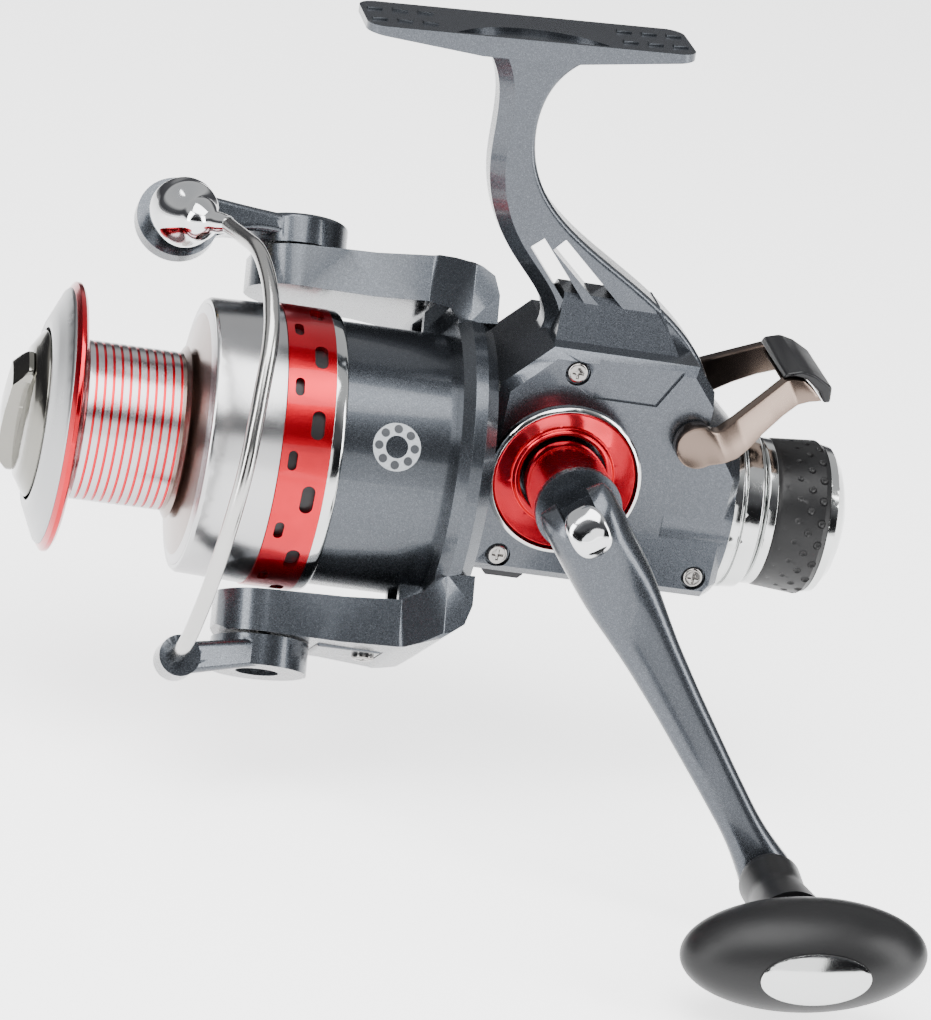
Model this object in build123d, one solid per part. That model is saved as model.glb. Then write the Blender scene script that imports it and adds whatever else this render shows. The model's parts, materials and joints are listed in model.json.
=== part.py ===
"""Spinning reel with a free-spool lever and a rear drag knob.

Millimetres. The origin is the centre of the foot's seat face, where the rod's reel seat bears.
+X runs from the spool to the rear drag knob, +Z points at the rod, and the crank is on the -Y side.
Turned parts are drawn along X and then placed, and "outward" on the crank means towards -Y.
"""
from build123d import *
import os
from math import cos, pi, radians, sin

os.makedirs("parts", exist_ok=True)

# ---- Driving dimensions -------------------------------------------------------------------------
# Foot and stem
foot_length = 64.0
foot_width = 18.0
foot_thickness = 4.0       # at the stem
foot_edge = 1.5            # at both ends
foot_tilt = 3.5            # degrees, rear end higher
stem_width = 9.2           # along X at the neck
stem_thickness = 10.0      # along Y
neck_front = -3.6          # X of the front of the neck
neck_length = 20.0
slot_width = 3.2
stem_bevel = 2.6
# Body
axis_drop = 91.0           # spool axis below the foot seat
body_front = 6.2
body_length = 51.3
body_half = 16.0           # half thickness along Y
body_top = 33.0            # above the spool axis
body_bottom = 14.5         # below the spool axis
body_wall = 2.4
roof_height = 8.0          # how far the flanks climb the stem
rear_round = 9.0           # length over which the case turns into the round barrel
cover_split = 11.0         # the cover fills from here to body_half on the crank side
barrel_radius = 16.2
nose_radius = 15.0
nose_length = 15.0
# Crank
crank_x = 20.8
crank_rise = 8.9           # crank axis above the spool axis
crank_radius = 70.0        # crank axis to knob axis
crank_angle = -52.5        # degrees from +X, seen from the crank side
crank_shaft_radius = 3.5
hub_radius = 8.0
hub_reach = 41.0           # hub end, measured outward from the centre plane
arm_reach = 72.0           # arm end, measured outward
bearing_cap_radius = 15.0
bearing_cap_height = 7.0
knob_span = 46.5
knob_depth = 21.0
knob_tilt = 7.0            # degrees, the knob's long axis above +X at rest
# Main shaft and gears
shaft_radius = 2.4
gear_teeth = 41
pinion_teeth = 8
gear_radius = 12.9
pinion_tip = 4.0
sleeve_radius = 4.4
oscillation_small = 4.6
oscillation_large = 9.2
oscillation_angle = -50.0  # degrees from +X, from the crank axis to the oscillation gear's
eccentric = 7.0            # oscillation pin's distance from its gear's axis
# Spool
spool_front = -76.5        # front edge of the lip
lip_radius = 26.4
arbor_radius = 15.6
arbor_length = 17.0
skirt_front = -49.5
skirt_front_radius = 26.6
skirt_radius = 27.9
skirt_bore = 26.7
skirt_band_start = -35.7
skirt_ring_start = -26.3
skirt_end = -23.7
band_holes = 12
drag_knob_radius = 16.3
# Rotor and bail
rotor_radius = 26.1
rotor_front = -30.5
rotor_rear = 5.0
rotor_plate = 7.0          # thickness of the rear plate
rotor_plate_radius = 33.0
rotor_turn = 32.0          # degrees, how far the arms lean away from the crank side at rest
arm_inner = 30.4           # radial distance of the rotor arms' inner faces
arm_outer = 38.8
arm_root_width = 46.0
arm_tip_width = 20.0
bail_pivot_x = -31.6
bail_boss_radius = 9.6
bail_boss_height = 6.0
bail_wire_radius = 1.5
bail_angle = 40.0          # degrees from straight forward to the bail arm at rest, towards the crank side
roller_radius = 4.2
# Rear knob and levers
collar_length = 6.6
grip_length = 10.9
grip_radius = 15.6
cap_length = 4.6
lever_x = 46.1
lever_rise = 18.5          # lever pivot above the spool axis
lever_reach = 24.0
lever_angle = 33.0         # degrees above +X at rest

# ---- Clearances ---------------------------------------------------------------------------------
running_gap = 0.05         # radial, shaft in its bush or bearing
clear_gap = 0.3            # between faces that slide past each other
free_gap = 0.6             # between large shells that turn past each other

# ---- Places -------------------------------------------------------------------------------------
axis_z = -axis_drop
crank_z = axis_z + crank_rise
body_rear = body_front + body_length
on_axis = Pos(0, 0, axis_z)
on_crank = Pos(crank_x, 0, crank_z) * Rot(0, 0, -90)
on_rotor = on_axis * Rot(-rotor_turn, 0, 0)
low = (Align.CENTER, Align.CENTER, Align.MIN)


# ---- Helpers ------------------------------------------------------------------------------------
def tube(x_start, x_end, radius, bore=0.0):
    """Round bar or tube along X between two stations."""
    place = Pos(x_start, 0, 0) * Rot(0, 90, 0)
    bar = place * Cylinder(radius, x_end - x_start, align=low)
    if bore > 0:
        bar -= place * Cylinder(bore, x_end - x_start, align=low)
    return bar


def turned(points):
    """Solid of revolution about X from (x, radius) corners."""
    return revolve(make_face(Polyline(*points, close=True)), Axis.X)


def post(x, y, z_start, z_end, radius, bore=0.0):
    """Round bar or tube along Z."""
    bar = Pos(x, y, z_start) * Cylinder(radius, z_end - z_start, align=low)
    if bore > 0:
        bar -= Pos(x, y, z_start) * Cylinder(bore, z_end - z_start, align=low)
    return bar


def block(x0, x1, y0, y1, z0, z1):
    """Box between opposite corners."""
    return Pos((x0 + x1) / 2, (y0 + y1) / 2, (z0 + z1) / 2) * Box(x1 - x0, y1 - y0, z1 - z0)


def side_plate(points, y_start, y_end):
    """Plate parallel to the XZ plane from (x, z) corners."""
    face = make_face(Polyline(*[(x, 0, z) for x, z in points], close=True))
    return extrude(Pos(0, y_start, 0) * face, amount=y_end - y_start, dir=(0, 1, 0))


def along(start, end, radius):
    """Round bar between two points."""
    path = Line(start, end)
    return sweep(Plane(path @ 0, z_dir=path % 0) * Circle(radius), path=path)


def screw(head_radius, head_height, shank_radius, shank_length):
    """Cross-recessed screw pointing down -Z with its head's top at z = head_height."""
    head = Cylinder(head_radius, head_height, align=low)
    head = fillet(head.edges().sort_by(Axis.Z)[-1], head_height * 0.45)
    shank = Pos(0, 0, -shank_length) * Cylinder(shank_radius, shank_length, align=low)
    recess = Box(head_radius * 1.1, head_radius * 0.26, head_height)
    recess += Box(head_radius * 0.26, head_radius * 1.1, head_height)
    return head + shank - Pos(0, 0, head_height) * recess


def save(name, shape):
    """Write one sub-part; a group of like pieces is one compound of separate solids."""
    if isinstance(shape, (list, tuple)):
        shape = Compound(children=list(shape))
    export_step(shape, f"parts/{name}.step")


# ---- Housing: foot, stem and gear case in one casting --------------------------------------------
def foot():
    """Foot tapering to both ends, with a lens-shaped dish and raised grip dashes on its seat face."""
    end, side = foot_length / 2, foot_width / 2
    profile = [(-end, 0), (-end, -foot_edge), (-end * 0.3, -foot_thickness), (end * 0.26, -foot_thickness),
               (end, -foot_edge), (end, 0)]
    plate = side_plate(profile, -side, side)
    plate = fillet(plate.edges().filter_by(Axis.Z), foot_width * 0.2)
    chord, near, apex = foot_length * 0.235, -side + 0.9, -0.8
    lens = make_face(ThreePointArc((-chord, near), (0, apex), (chord, near)) + Line((chord, near), (-chord, near)))
    plate -= extrude(lens, amount=-0.9)
    plate -= Pos(0, near + 2.4, -0.9) * Box(7.4, 0.7, 0.8)
    for side_x in (-1, 1):
        for step in (-1, 0, 1):
            for row in (-1, 1):
                plate += Pos(side_x * (end - 7.6 + 4.9 * step), row * foot_width * 0.2, 0) * Box(2.9, 1.5, 0.8)
    return Rot(0, -foot_tilt, 0) * plate


def stem_outline():
    """Closed outline of neck and flared panel in XZ, from under the foot into the gear case."""
    top = -foot_thickness * 0.65
    neck_top = -foot_thickness - 7.0
    neck_low = neck_top - neck_length * 0.75
    neck_back = neck_front + stem_width
    case_top = axis_z + body_top
    front = Spline((neck_front - 6.0, 0, top), (neck_front - 0.2, 0, neck_top), (neck_front + 1.2, 0, neck_low),
                   (neck_front + 9.2, 0, neck_low - 18.0), (body_front + 8.5, 0, case_top + 1.0),
                   (body_front + 5.0, 0, case_top - 5.0))
    back = Spline((neck_back + 8.5, 0, top), (neck_back + 0.4, 0, neck_top), (neck_back + 1.0, 0, neck_low),
                  (neck_back + 23.5, 0, neck_low - 19.6), (body_rear - 8.5, 0, case_top - 5.0))
    close_top = Line(back @ 0, front @ 0)
    close_low = Line(front @ 1, back @ 1)
    return make_face(Wire([front, close_low, back, close_top]))


def stem():
    """Flared stem: its front edges broadly bevelled, its rear edges rounded, two slanting slots."""
    face = stem_outline()
    half = stem_thickness / 2
    body = extrude(Pos(0, -half, 0) * face, amount=stem_thickness, dir=(0, 1, 0))
    rims = [edge for edge in body.edges() if abs(abs(edge.center().Y) - half) < 0.01 and edge.length > 50]
    rims.sort(key=lambda edge: edge.length)
    body = chamfer(rims[:2], stem_bevel)
    rims = [edge for edge in body.edges() if abs(abs(edge.center().Y) - half) < 0.01 and edge.length > 75]
    body = fillet(rims, 1.2)
    neck_low = -foot_thickness - 7.0 - neck_length * 0.75
    for start_x, drop, length, slope in ((9.6, 14.6, 19.6, 48.5), (14.0, 14.4, 25.0, 41.0)):
        place = Pos(start_x, 0, neck_low - drop) * Rot(0, slope, 0)
        opening = Pos(length / 2, 0, 0) * Box(length, stem_thickness * 2, slot_width)
        body -= place * opening
    return body


def case_outline(inset=0.0):
    """(x, z) corners of the gear case seen from the side."""
    top = axis_z + body_top - inset
    bottom = axis_z - body_bottom + inset
    front = body_front + inset
    rear = body_rear - inset * 1.5
    return [(front, bottom), (rear, bottom), (rear, axis_z + barrel_radius + 1.5 - inset),
            (rear - 13.0 - inset * 0.5, top), (front + 9.0, top), (front, top - 9.0)]


def gear_case():
    solid = side_plate(case_outline(), -cover_split, body_half)
    far_rim = solid.faces().sort_by(Axis.Y)[-1].edges()
    solid = chamfer(far_rim, 2.6)
    # Roof that carries the flanks up into the stem
    eaves, ridge = axis_z + body_top - 0.5, axis_z + body_top + roof_height
    roof = loft([Pos((body_front + body_rear) / 2 - 3.2, 0.6, eaves) * Rectangle(body_length - 26.0, 2 * cover_split - 0.8),
                 Pos((body_front + body_rear) / 2 - 5.0, 0, ridge) * Rectangle(body_length - 32.0, stem_thickness - 2.0)])
    solid += roof
    solid += on_axis * tube(body_rear - 14.0, body_rear, barrel_radius) & block(
        body_rear - 14.0, body_rear, -cover_split, barrel_radius + 1, axis_z - 20, axis_z + 20)
    solid &= rear_rounding()
    room = side_plate(case_outline(body_wall), -cover_split, body_half - body_wall - 0.6)
    return solid - room


def rear_rounding():
    """Everything inside this is kept: wide over the case, a cone towards the collar."""
    cone = body_rear - rear_round
    return on_axis * turned([(-40, 0), (-40, 90), (cone, 90), (cone, barrel_radius + 9.8),
                             (body_rear, barrel_radius + 1.8), (body_rear, 0)])


def bearing_boss_far():
    """Boss on the far wall that holds the far drive bearing."""
    reach = body_half - body_wall - 0.6
    return Pos(crank_x, reach - 3.4, crank_z) * Rot(-90, 0, 0) * Cylinder(9.4, 3.6, align=low)


def housing():
    part = gear_case() + stem() + foot()
    part += bearing_boss_far()
    # Front nose: carries the pinion bearing and the one-way clutch inside the rotor
    part += on_axis * tube(body_front - nose_length, body_front + body_wall, nose_radius)
    part -= on_axis * tube(body_front - nose_length, body_front, nose_radius - 2.4)
    part -= on_axis * tube(body_front, body_front + body_wall + 1, sleeve_radius + 1.2)
    # Rear bore for the main shaft bush, opening into the drag knob
    part += on_axis * tube(body_rear - 6.5, body_rear - 1.8, 10.0)
    part -= on_axis * tube(body_rear - 1.8, body_rear + 1, 8.4)
    part -= on_axis * tube(body_rear - 8.0, body_rear, shaft_radius + 1.6)
    # Bearing seat and crank bore through the far wall
    part -= Pos(crank_x, body_half + 2, crank_z) * Rot(90, 0, 0) * Cylinder(6.6, 9.2, align=low)
    # Reverse switch pin bore in the floor
    part -= post(switch_x, switch_y, axis_z - body_bottom - 1, axis_z - body_bottom + body_wall + 1,
                 switch_pin + running_gap)
    # Screw holes for the cover, open to the cover side
    for x, z in cover_screw_places():
        part += boss_behind_cover(x, z)
        part -= Pos(x, -cover_split, z) * Rot(90, 0, 0) * Cylinder(1.25, 16)
    # Guide rod and oscillation gear boss
    part -= on_axis * Pos(0, 0, -guide_drop) * tube(body_front + 1.0, body_rear - body_wall - 1, 1.2)
    part += Pos(gear_boss_x, body_half - body_wall, gear_boss_z) * Rot(90, 0, 0) * Cylinder(
        1.6, 7.2, align=low)
    # Room for the drive gear close behind the front wall, and the cover's seat around the nose
    part -= on_crank * tube(gear_face - 0.6, cover_split, gear_radius + 0.6)
    part -= block(body_front, body_front + 5, -nose_radius - 1, -cover_split, axis_z - nose_radius - 1,
                  axis_z + nose_radius + 1)
    # Bores that pass through the bosses
    part -= Pos(lever_x, 0, axis_z + lever_rise) * Rot(90, 0, 0) * Cylinder(2.0 + running_gap, 60)
    part -= Pos(lever_x, 0, axis_z + lever_rise) * Rot(90, 0, 0) * Cylinder(5.0, 7.0)
    return part


def boss_behind_cover(x, z):
    """Screw boss standing in the gear case, kept inside its walls."""
    boss = Pos(x, body_half - 3.0, z) * Rot(90, 0, 0) * Cylinder(
        2.7, cover_split + body_half - 3.0, align=low)
    return boss & side_plate(case_outline(0.4), -cover_split, body_half - 1)


def cover_screw_places():
    return [(body_front + 14.2, axis_z + body_top - 4.2),
            (body_front + 6.2, axis_z - body_bottom + 3.9),
            (body_rear - 5.2, axis_z - body_bottom + 4.4)]


# ---- Side cover ---------------------------------------------------------------------------------
def side_cover():
    plate = side_plate(case_outline(), -body_half, -cover_split)
    face = plate.faces().sort_by(Axis.Y)[0]
    plate = chamfer(face.edges(), 1.8)
    barrel = on_axis * tube(body_rear - 14.0, body_rear, barrel_radius)
    plate += barrel & block(body_rear - 14.0, body_rear, -barrel_radius - 1, -cover_split,
                            axis_z - 20, axis_z + 20)
    plate &= rear_rounding()
    pocket = side_plate(case_outline(body_wall), -body_half + body_wall, -cover_split)
    plate -= pocket
    # Bearing seat
    seat = Pos(crank_x, -cover_split, crank_z) * Rot(90, 0, 0)
    plate += seat * Cylinder(10.4, body_half - cover_split - 0.2, align=low)
    plate -= seat * Cylinder(7.0, 3.2, align=low)
    plate -= seat * Cylinder(crank_shaft_radius + 1.0, 12, align=low)
    # Barrel bore
    plate -= on_axis * tube(body_rear - 16.0, body_rear + 1, cover_split + 0.1)
    # Shallow panel step above the crank
    step = side_plate([(body_front + 18.0, axis_z + body_top + 1), (body_front + 18.0, axis_z + 24.2),
                       (body_front + 31.0, axis_z + 24.2), (body_front + 36.5, axis_z + body_top + 1)],
                      -body_half - 1, -body_half + 0.7)
    plate -= step
    for x, z in cover_screw_places():
        boss = Pos(x, -cover_split, z) * Rot(90, 0, 0)
        column = boss * Cylinder(2.9, body_half - cover_split - body_wall + 0.2, align=low)
        plate += column & side_plate(case_outline(0.4), -body_half, -cover_split)
        plate -= boss * Cylinder(1.5, 8, align=low)
        plate -= Pos(x, -body_half + 1.3, z) * Rot(90, 0, 0) * Cylinder(2.5, 4, align=low)
    plate -= Pos(lever_x, 0, axis_z + lever_rise) * Rot(90, 0, 0) * Cylinder(2.0 + running_gap, 60)
    return plate


def cover_screws():
    pieces = []
    for x, z in cover_screw_places():
        pieces.append(Pos(x, -body_half + 1.3, z) * Rot(90, 0, 0) * screw(2.1, 1.3, 1.2, 9.0))
    return pieces


# ---- Rear collar, drag knob and what they hold ---------------------------------------------------
collar_end = body_rear + collar_length
ring_end = collar_end + 2.6
grip_end = ring_end + grip_length


def rear_collar():
    x0, x1, r = body_rear, collar_end, barrel_radius
    groove = x0 + 1.7
    return on_axis * turned([(x0, 9.0), (x0, r), (groove, r), (groove, r - 0.8), (groove + 0.7, r - 0.8),
                             (groove + 0.7, r), (x1 - 0.8, r - 0.3), (x1, r - 1.2), (x1, 9.0)])


def knob_ring():
    x0, x1, r = collar_end + clear_gap, ring_end, barrel_radius - 1.4
    return on_axis * turned([(x0, 10.4), (x0, r - 0.5), (x0 + 0.5, r), (x1, r), (x1, 10.4)])


def knob_grip():
    x0, x1, r = ring_end, grip_end, grip_radius
    grip = turned([(x0, 12.0), (x0, r - 1.3), (x0 + 1.0, r - 0.7), (x1 - 1.2, r), (x1, r - 0.7), (x1, 12.0)])
    rows, columns = 22, 4
    for row in range(rows):
        for column in range(columns):
            x = x0 + 1.9 + column * (grip_length - 3.6) / (columns - 1)
            turn = Rot(row * 360 / rows + (column % 2) * 180 / rows, 0, 0)
            grip -= turn * Pos(x, 0, r + 0.35) * Sphere(1.0)
    return on_axis * grip


def knob_core():
    """Chrome rear cap with the sleeve that the rubber grip is pushed on."""
    x0, x1, x2, r = ring_end, grip_end, grip_end + cap_length, grip_radius
    return on_axis * turned([(x0 - 2.0, 9.0), (x0 - 2.0, 10.4), (x0, 10.4), (x0, 12.0), (x1, 12.0),
                             (x1, r - 0.6), (x1 + 1.6, r - 0.8), (x2 - 1.1, r - 3.4), (x2, r - 6.0),
                             (x2, 0.0), (x2 - 1.8, 0.0), (x2 - 1.8, 9.0)])


nut_x = grip_end + cap_length - 1.8 - 4.0      # the nut sits against the cap's inner face
washer_pitch = 1.25
rear_stack = body_rear - 1.8                   # first washer's station


def drag_nut():
    """Hexagon nut keyed in the knob; it squeezes the rear drag stack."""
    nut = extrude(RegularPolygon(8.0, 6), amount=4.0)
    nut -= Cylinder(4.4, 20)
    return on_axis * Pos(nut_x, 0, 0) * Rot(0, 90, 0) * nut


def rear_washers(kind):
    """Rear drag stack: metal and fibre discs in turn."""
    start = 0 if kind == "metal" else 1
    return [on_axis * tube(rear_stack + index * washer_pitch, rear_stack + (index + 1) * washer_pitch, 8.0,
                           shaft_radius + 1.0) for index in range(start, 6, 2)]


def rear_spring():
    """Coil spring between the rear washers and the nut."""
    x0 = rear_stack + 6 * washer_pitch + clear_gap
    length = nut_x - x0
    wire = 0.45
    path = Helix(pitch=length / 4.2, height=length - 2 * wire, radius=5.4)
    coil = sweep(Plane(path @ 0, z_dir=path % 0) * Circle(wire), path=path)
    return on_axis * Pos(x0 + wire, 0, 0) * Rot(0, 90, 0) * coil


# ---- Free-spool lever and reverse switch --------------------------------------------------------
lever_gap = 0.6            # between the lever's arms and the body's sides
lever_plate = 3.4
switch_x = body_front + 11.1
switch_y = -3.6
switch_pin = 1.6
guide_drop = 9.6           # guide rod below the spool axis
gear_spacing = oscillation_small + oscillation_large + 0.4
gear_boss_x = crank_x + gear_spacing * cos(radians(oscillation_angle))
gear_boss_z = crank_z + gear_spacing * sin(radians(oscillation_angle))


def lever_arm(side):
    """One flat arm of the yoke with its round pivot boss; side is -1 near the crank, 1 on the far side."""
    inner = body_half + lever_gap
    y0, y1 = sorted((side * inner, side * (inner + lever_plate)))
    tip = lever_reach
    plate = side_plate([(-1.0, -3.4), (tip * 0.55, -3.6), (tip, -4.4), (tip + 4.4, 1.0), (tip + 1.0, 4.4),
                        (tip * 0.55, 2.6), (0.0, 4.4)], y0, y1)
    plate += Pos(0, (y0 + y1) / 2, 0) * Rot(90, 0, 0) * Cylinder(4.4, lever_plate)
    plate -= Rot(90, 0, 0) * Cylinder(2.0, 80)
    return plate


def lever_place():
    return Pos(lever_x, 0, axis_z + lever_rise) * Rot(0, -lever_angle, 0)


def freespool_lever():
    outer = body_half + lever_gap
    bridge = side_plate([(lever_reach - 2.0, -4.3), (lever_reach, -4.4), (lever_reach + 4.4, 1.0),
                         (lever_reach + 1.0, 4.4), (lever_reach - 3.0, 3.4)], -outer, outer)
    return lever_place() * (lever_arm(-1) + lever_arm(1) + bridge)


def thumb_pad():
    """Plastic pad clipped over the yoke's bridge."""
    half = body_half + lever_gap + lever_plate - 1.0
    top = side_plate([(lever_reach + 1.0, 4.4), (lever_reach + 4.4, 1.0), (lever_reach + 7.0, 1.6),
                      (lever_reach + 3.6, 7.8), (lever_reach - 6.5, 7.0), (lever_reach - 7.0, 5.0),
                      (lever_reach - 3.0, 4.0)], -half, half)
    top = chamfer(top.faces().sort_by(Axis.Y)[0].edges() + top.faces().sort_by(Axis.Y)[-1].edges(), 0.8)
    return lever_place() * top


def lever_pin():
    reach = body_half + lever_gap + lever_plate
    pin = Pos(0, reach + 0.4, 0) * Rot(90, 0, 0) * Cylinder(2.0, 2 * reach + 0.8, align=low)
    cam = Rot(90, 0, 0) * Cylinder(4.2, 6.0)
    return lever_place() * (pin + cam)


def reverse_switch():
    """Stop-anti-reverse switch: a tab under the body on an upright pin."""
    floor = axis_z - body_bottom
    tab = block(switch_x - 5.0, switch_x + 3.4, switch_y - 2.2, switch_y + 2.2, floor - 4.4, floor - 1.6)
    tab = chamfer(tab.edges().filter_by(Axis.Y), 0.9)
    tab += post(switch_x, switch_y, floor - 2.0, floor - 0.4, 2.6)
    pin = post(switch_x, switch_y, floor - 0.6, floor + body_wall + 1.0, switch_pin)
    cam = post(switch_x, switch_y, floor + body_wall + 0.3, floor + body_wall + 1.0, 1.9)
    return tab + pin + cam


# ---- Crank drive --------------------------------------------------------------------------------
bearing_cap_base = body_half
bearing_cap_top = body_half + bearing_cap_height


def bearing_cap():
    """Red anodised dish around the hub."""
    r, x0, x1 = bearing_cap_radius - 0.7, bearing_cap_base, bearing_cap_top
    bore = hub_radius + 0.5
    return on_crank * turned([(x0, bore + 1.2), (x0, r - 1.0), (x1 - 1.4, r), (x1 - 0.7, r - 0.6),
                              (x1 - 2.6, bore + 1.6), (x1 - 1.9, bore + 1.0), (x1 - 2.6, bore),
                              (x0 + 1.0, bore)])


def bearing_cap_rim():
    """Bright ring around the dish."""
    r, x0, x1 = bearing_cap_radius, bearing_cap_base, bearing_cap_top
    return on_crank * turned([(x1 - 2.6, r - 0.7), (x1 - 2.6, r), (x1 - 0.6, r + 0.1), (x1, r - 0.7),
                              (x1 - 0.7, r - 0.68), (x1 - 1.4, r - 0.69)])


def face_teeth(count, inner, outer, height, width_share):
    """Ring of straight teeth on a disc's face, rising along X."""
    teeth = []
    for index in range(count):
        tooth = Pos(height / 2, 0, (inner + outer) / 2) * Box(
            height, 2 * pi * inner / count * width_share, outer - inner)
        teeth.append(Rot(index * 360 / count, 0, 0) * tooth)
    return teeth


gear_face = pinion_tip + clear_gap     # outward station of the tooth tops of the drive gear


def drive_gear():
    """Face gear on the crank axis, its teeth towards the pinion."""
    back = gear_face + 4.0
    disc = tube(gear_face + 0.7, back, gear_radius, crank_shaft_radius)
    disc += tube(back, back + 1.6, 7.0, crank_shaft_radius)
    for index in range(6):
        disc -= Rot(index * 60, 0, 0) * Pos(gear_face, 0, 7.4) * Rot(0, 90, 0) * Cylinder(1.5, 20)
    teeth = [Rot(180, 0, 0) * tooth for tooth in face_teeth(gear_teeth, gear_radius - 3.0, gear_radius,
                                                            0.9, 0.5)]
    for tooth in teeth:
        disc += Pos(gear_face, 0, 0) * tooth
    return on_crank * disc


def crank_shaft():
    """Drive shaft with the chrome hub turned on its outer end."""
    far = -(body_half - 1.0)
    shaft = tube(far, body_half + 2.0, crank_shaft_radius)
    hub = turned([(body_half + 1.4, 0), (body_half + 1.4, hub_radius - 0.6), (body_half + 2.0, hub_radius),
                  (hub_reach - 5.4, hub_radius), (hub_reach - 4.6, hub_radius - 0.8), (hub_reach - 4.6, 0)])
    return on_crank * (shaft + hub + oscillation_pinion())


def spur(count, tip, root, width, bore):
    """Straight-toothed gear along X, from 0 to width."""
    gear = tube(0, width, root, bore)
    tooth_width = 2 * pi * root / count * 0.44
    for index in range(count):
        gear += Rot(index * 360 / count, 0, 0) * Pos(width / 2, 0, (tip + root) / 2 - 0.2) * Box(
            width, tooth_width, tip - root + 0.4)
    return gear


def oscillation_pinion():
    """Small gear cut on the crank shaft; it turns the oscillation gear."""
    return Pos(-(body_half - 6.2), 0, 0) * spur(14, oscillation_small, oscillation_small - 0.9, 3.0,
                                                crank_shaft_radius - 0.2)


def drive_bearing(x_start, outer):
    return on_crank * tube(x_start, x_start + 3.0, outer, crank_shaft_radius + running_gap)


def bore_cap():
    """Screwed cap over the far bearing."""
    cap = turned([(-body_half, 0), (-body_half, 9.0), (-body_half - 1.2, 9.0), (-body_half - 2.6, 7.6),
                  (-body_half - 2.6, 0)])
    for index in range(10):
        cap -= Rot(index * 36, 0, 0) * Pos(-body_half - 2.6, 0, 9.4) * Rot(0, 90, 0) * Cylinder(0.8, 4)
    return on_crank * cap


# ---- Handle -------------------------------------------------------------------------------------
# Drawn with X along the crank arm and Z outward, then turned onto the crank.
handle_place = (Pos(crank_x, 0, crank_z) * Rot(90, 0, 0) * Rot(0, 0, crank_angle))
fold_x = 1.0               # fold pin's distance from the crank axis
fold_height = hub_reach + 5.6
fold_radius = 7.8          # round head of the arm about the pin


def fold_block():
    """Chrome block on the hub that the arm folds on."""
    base = hub_reach - 4.6
    body = post(0, 0, base, base + 1.6, hub_radius + 0.4)
    body += block(fold_x - 3.0, fold_x + 3.0, -3.0, 3.0, base + 1.6, fold_height)
    body += Pos(fold_x + 0.6, 0, fold_height) * Rot(90, 0, 0) * Cylinder(4.6, 6.0)
    body = body - Pos(fold_x, 0, fold_height) * Rot(90, 0, 0) * Cylinder(1.5, 20)
    return handle_place * body


def fold_pin():
    return handle_place * Pos(fold_x, 0, fold_height) * Rot(90, 0, 0) * Cylinder(1.5, 14.4)


def handle_arm():
    """Graphite arm: a fork over the fold block, then a tapering bar cranked outward to the knob."""
    tip_height = arm_reach
    sections = ((fold_x, fold_height + 0.2, 14.6, 13.0), (fold_x + 11.0, fold_height + 1.6, 13.6, 10.6),
                (crank_radius * 0.36, hub_reach + 12.6, 10.6, 7.6),
                (crank_radius * 0.66, hub_reach + 21.5, 8.8, 6.4),
                (crank_radius - 3.0, tip_height - 3.4, 8.2, 6.4))
    faces = []
    for x, height, width, depth in sections:
        faces.append(Pos(x, 0, height) * Rot(0, 90, 0) * RectangleRounded(depth, width, depth * 0.34))
    bar = loft(faces)
    head = Pos(fold_x, 0, fold_height) * Rot(90, 0, 0) * Cylinder(fold_radius, 14.4)
    bar += head & post(fold_x, 0, fold_height - 10, fold_height + 10, 7.6)
    end = post(crank_radius, 0, tip_height - 6.8, tip_height, 5.2)
    bar += end
    slot_end = fold_x + 5.8
    bar -= block(-20, slot_end, -3.0 - clear_gap, 3.0 + clear_gap, 0, fold_height + 20)
    bar -= Pos(fold_x, 0, fold_height) * Rot(90, 0, 0) * Cylinder(1.5 + running_gap, 30)
    bar -= post(crank_radius, 0, tip_height - 20, tip_height + 10, 2.2)
    return handle_place * bar


def knob_post():
    """Steel post riveted in the arm; the knob turns on it."""
    top = arm_reach + 30.0
    pin = post(crank_radius, 0, arm_reach - 6.8, top, 2.2)
    pin += post(crank_radius, 0, arm_reach, arm_reach + 1.0, 4.4)
    pin += post(crank_radius, 0, top - 0.2, top + 1.0, 3.4)
    return handle_place * pin


knob_base = arm_reach + 1.3
knob_mid = knob_base + 31.0


def knob_neck():
    """Hard core of the knob: a flared neck with the bore for the post."""
    profile = [(knob_base, 2.2 + running_gap), (knob_base, 5.4), (knob_base + 1.6, 6.0),
               (knob_base + 9.0, 5.6), (knob_base + 20.0, 7.4), (knob_base + 20.0, 2.2 + running_gap)]
    return handle_place * Pos(crank_radius, 0, 0) * Rot(0, -90, 0) * turned(profile)


def knob_grip_shape():
    """T-shaped rubber grip: an egg laid across the post, with a seat for the badge."""
    across = Rot(0, 0, knob_tilt - crank_angle - 90)
    egg = Sphere(1.0)
    egg = scale(egg, by=(knob_depth / 2, knob_span / 2, knob_depth / 2 + 0.6))
    egg = Pos(crank_radius, 0, knob_mid) * across * egg
    egg -= post(crank_radius, 0, 0, knob_base + 20.0 + 0.01, 30)
    egg -= post(crank_radius, 0, 0, arm_reach + 31.0 + clear_gap, 3.4 + clear_gap)
    egg -= badge_seat(0.0)
    return handle_place * egg


def badge_seat(margin):
    """Oval plug for the badge at the outer end of the knob."""
    across = Rot(0, 0, knob_tilt - crank_angle - 90)
    oval = extrude(Ellipse(5.2 - margin, 10.4 - margin), amount=20)
    return Pos(crank_radius, 0, knob_mid + knob_depth / 2 - 1.4) * across * oval


def knob_badge():
    """Bright oval plate, slightly crowned and plain."""
    across = Rot(0, 0, knob_tilt - crank_angle - 90)
    crown = scale(Sphere(1.0), by=(knob_depth / 2 + 0.35, knob_span / 2 + 0.6, knob_depth / 2 + 1.0))
    crown = Pos(crank_radius, 0, knob_mid) * across * crown
    return handle_place * (badge_seat(0.06) & crown)


# ---- Main shaft, pinion and oscillation ----------------------------------------------------------
shaft_front = spool_front - 4.4
shaft_rear = body_rear - 2.4
slider_half = 3.2
slider_x = gear_boss_x - eccentric - slider_half


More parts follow.
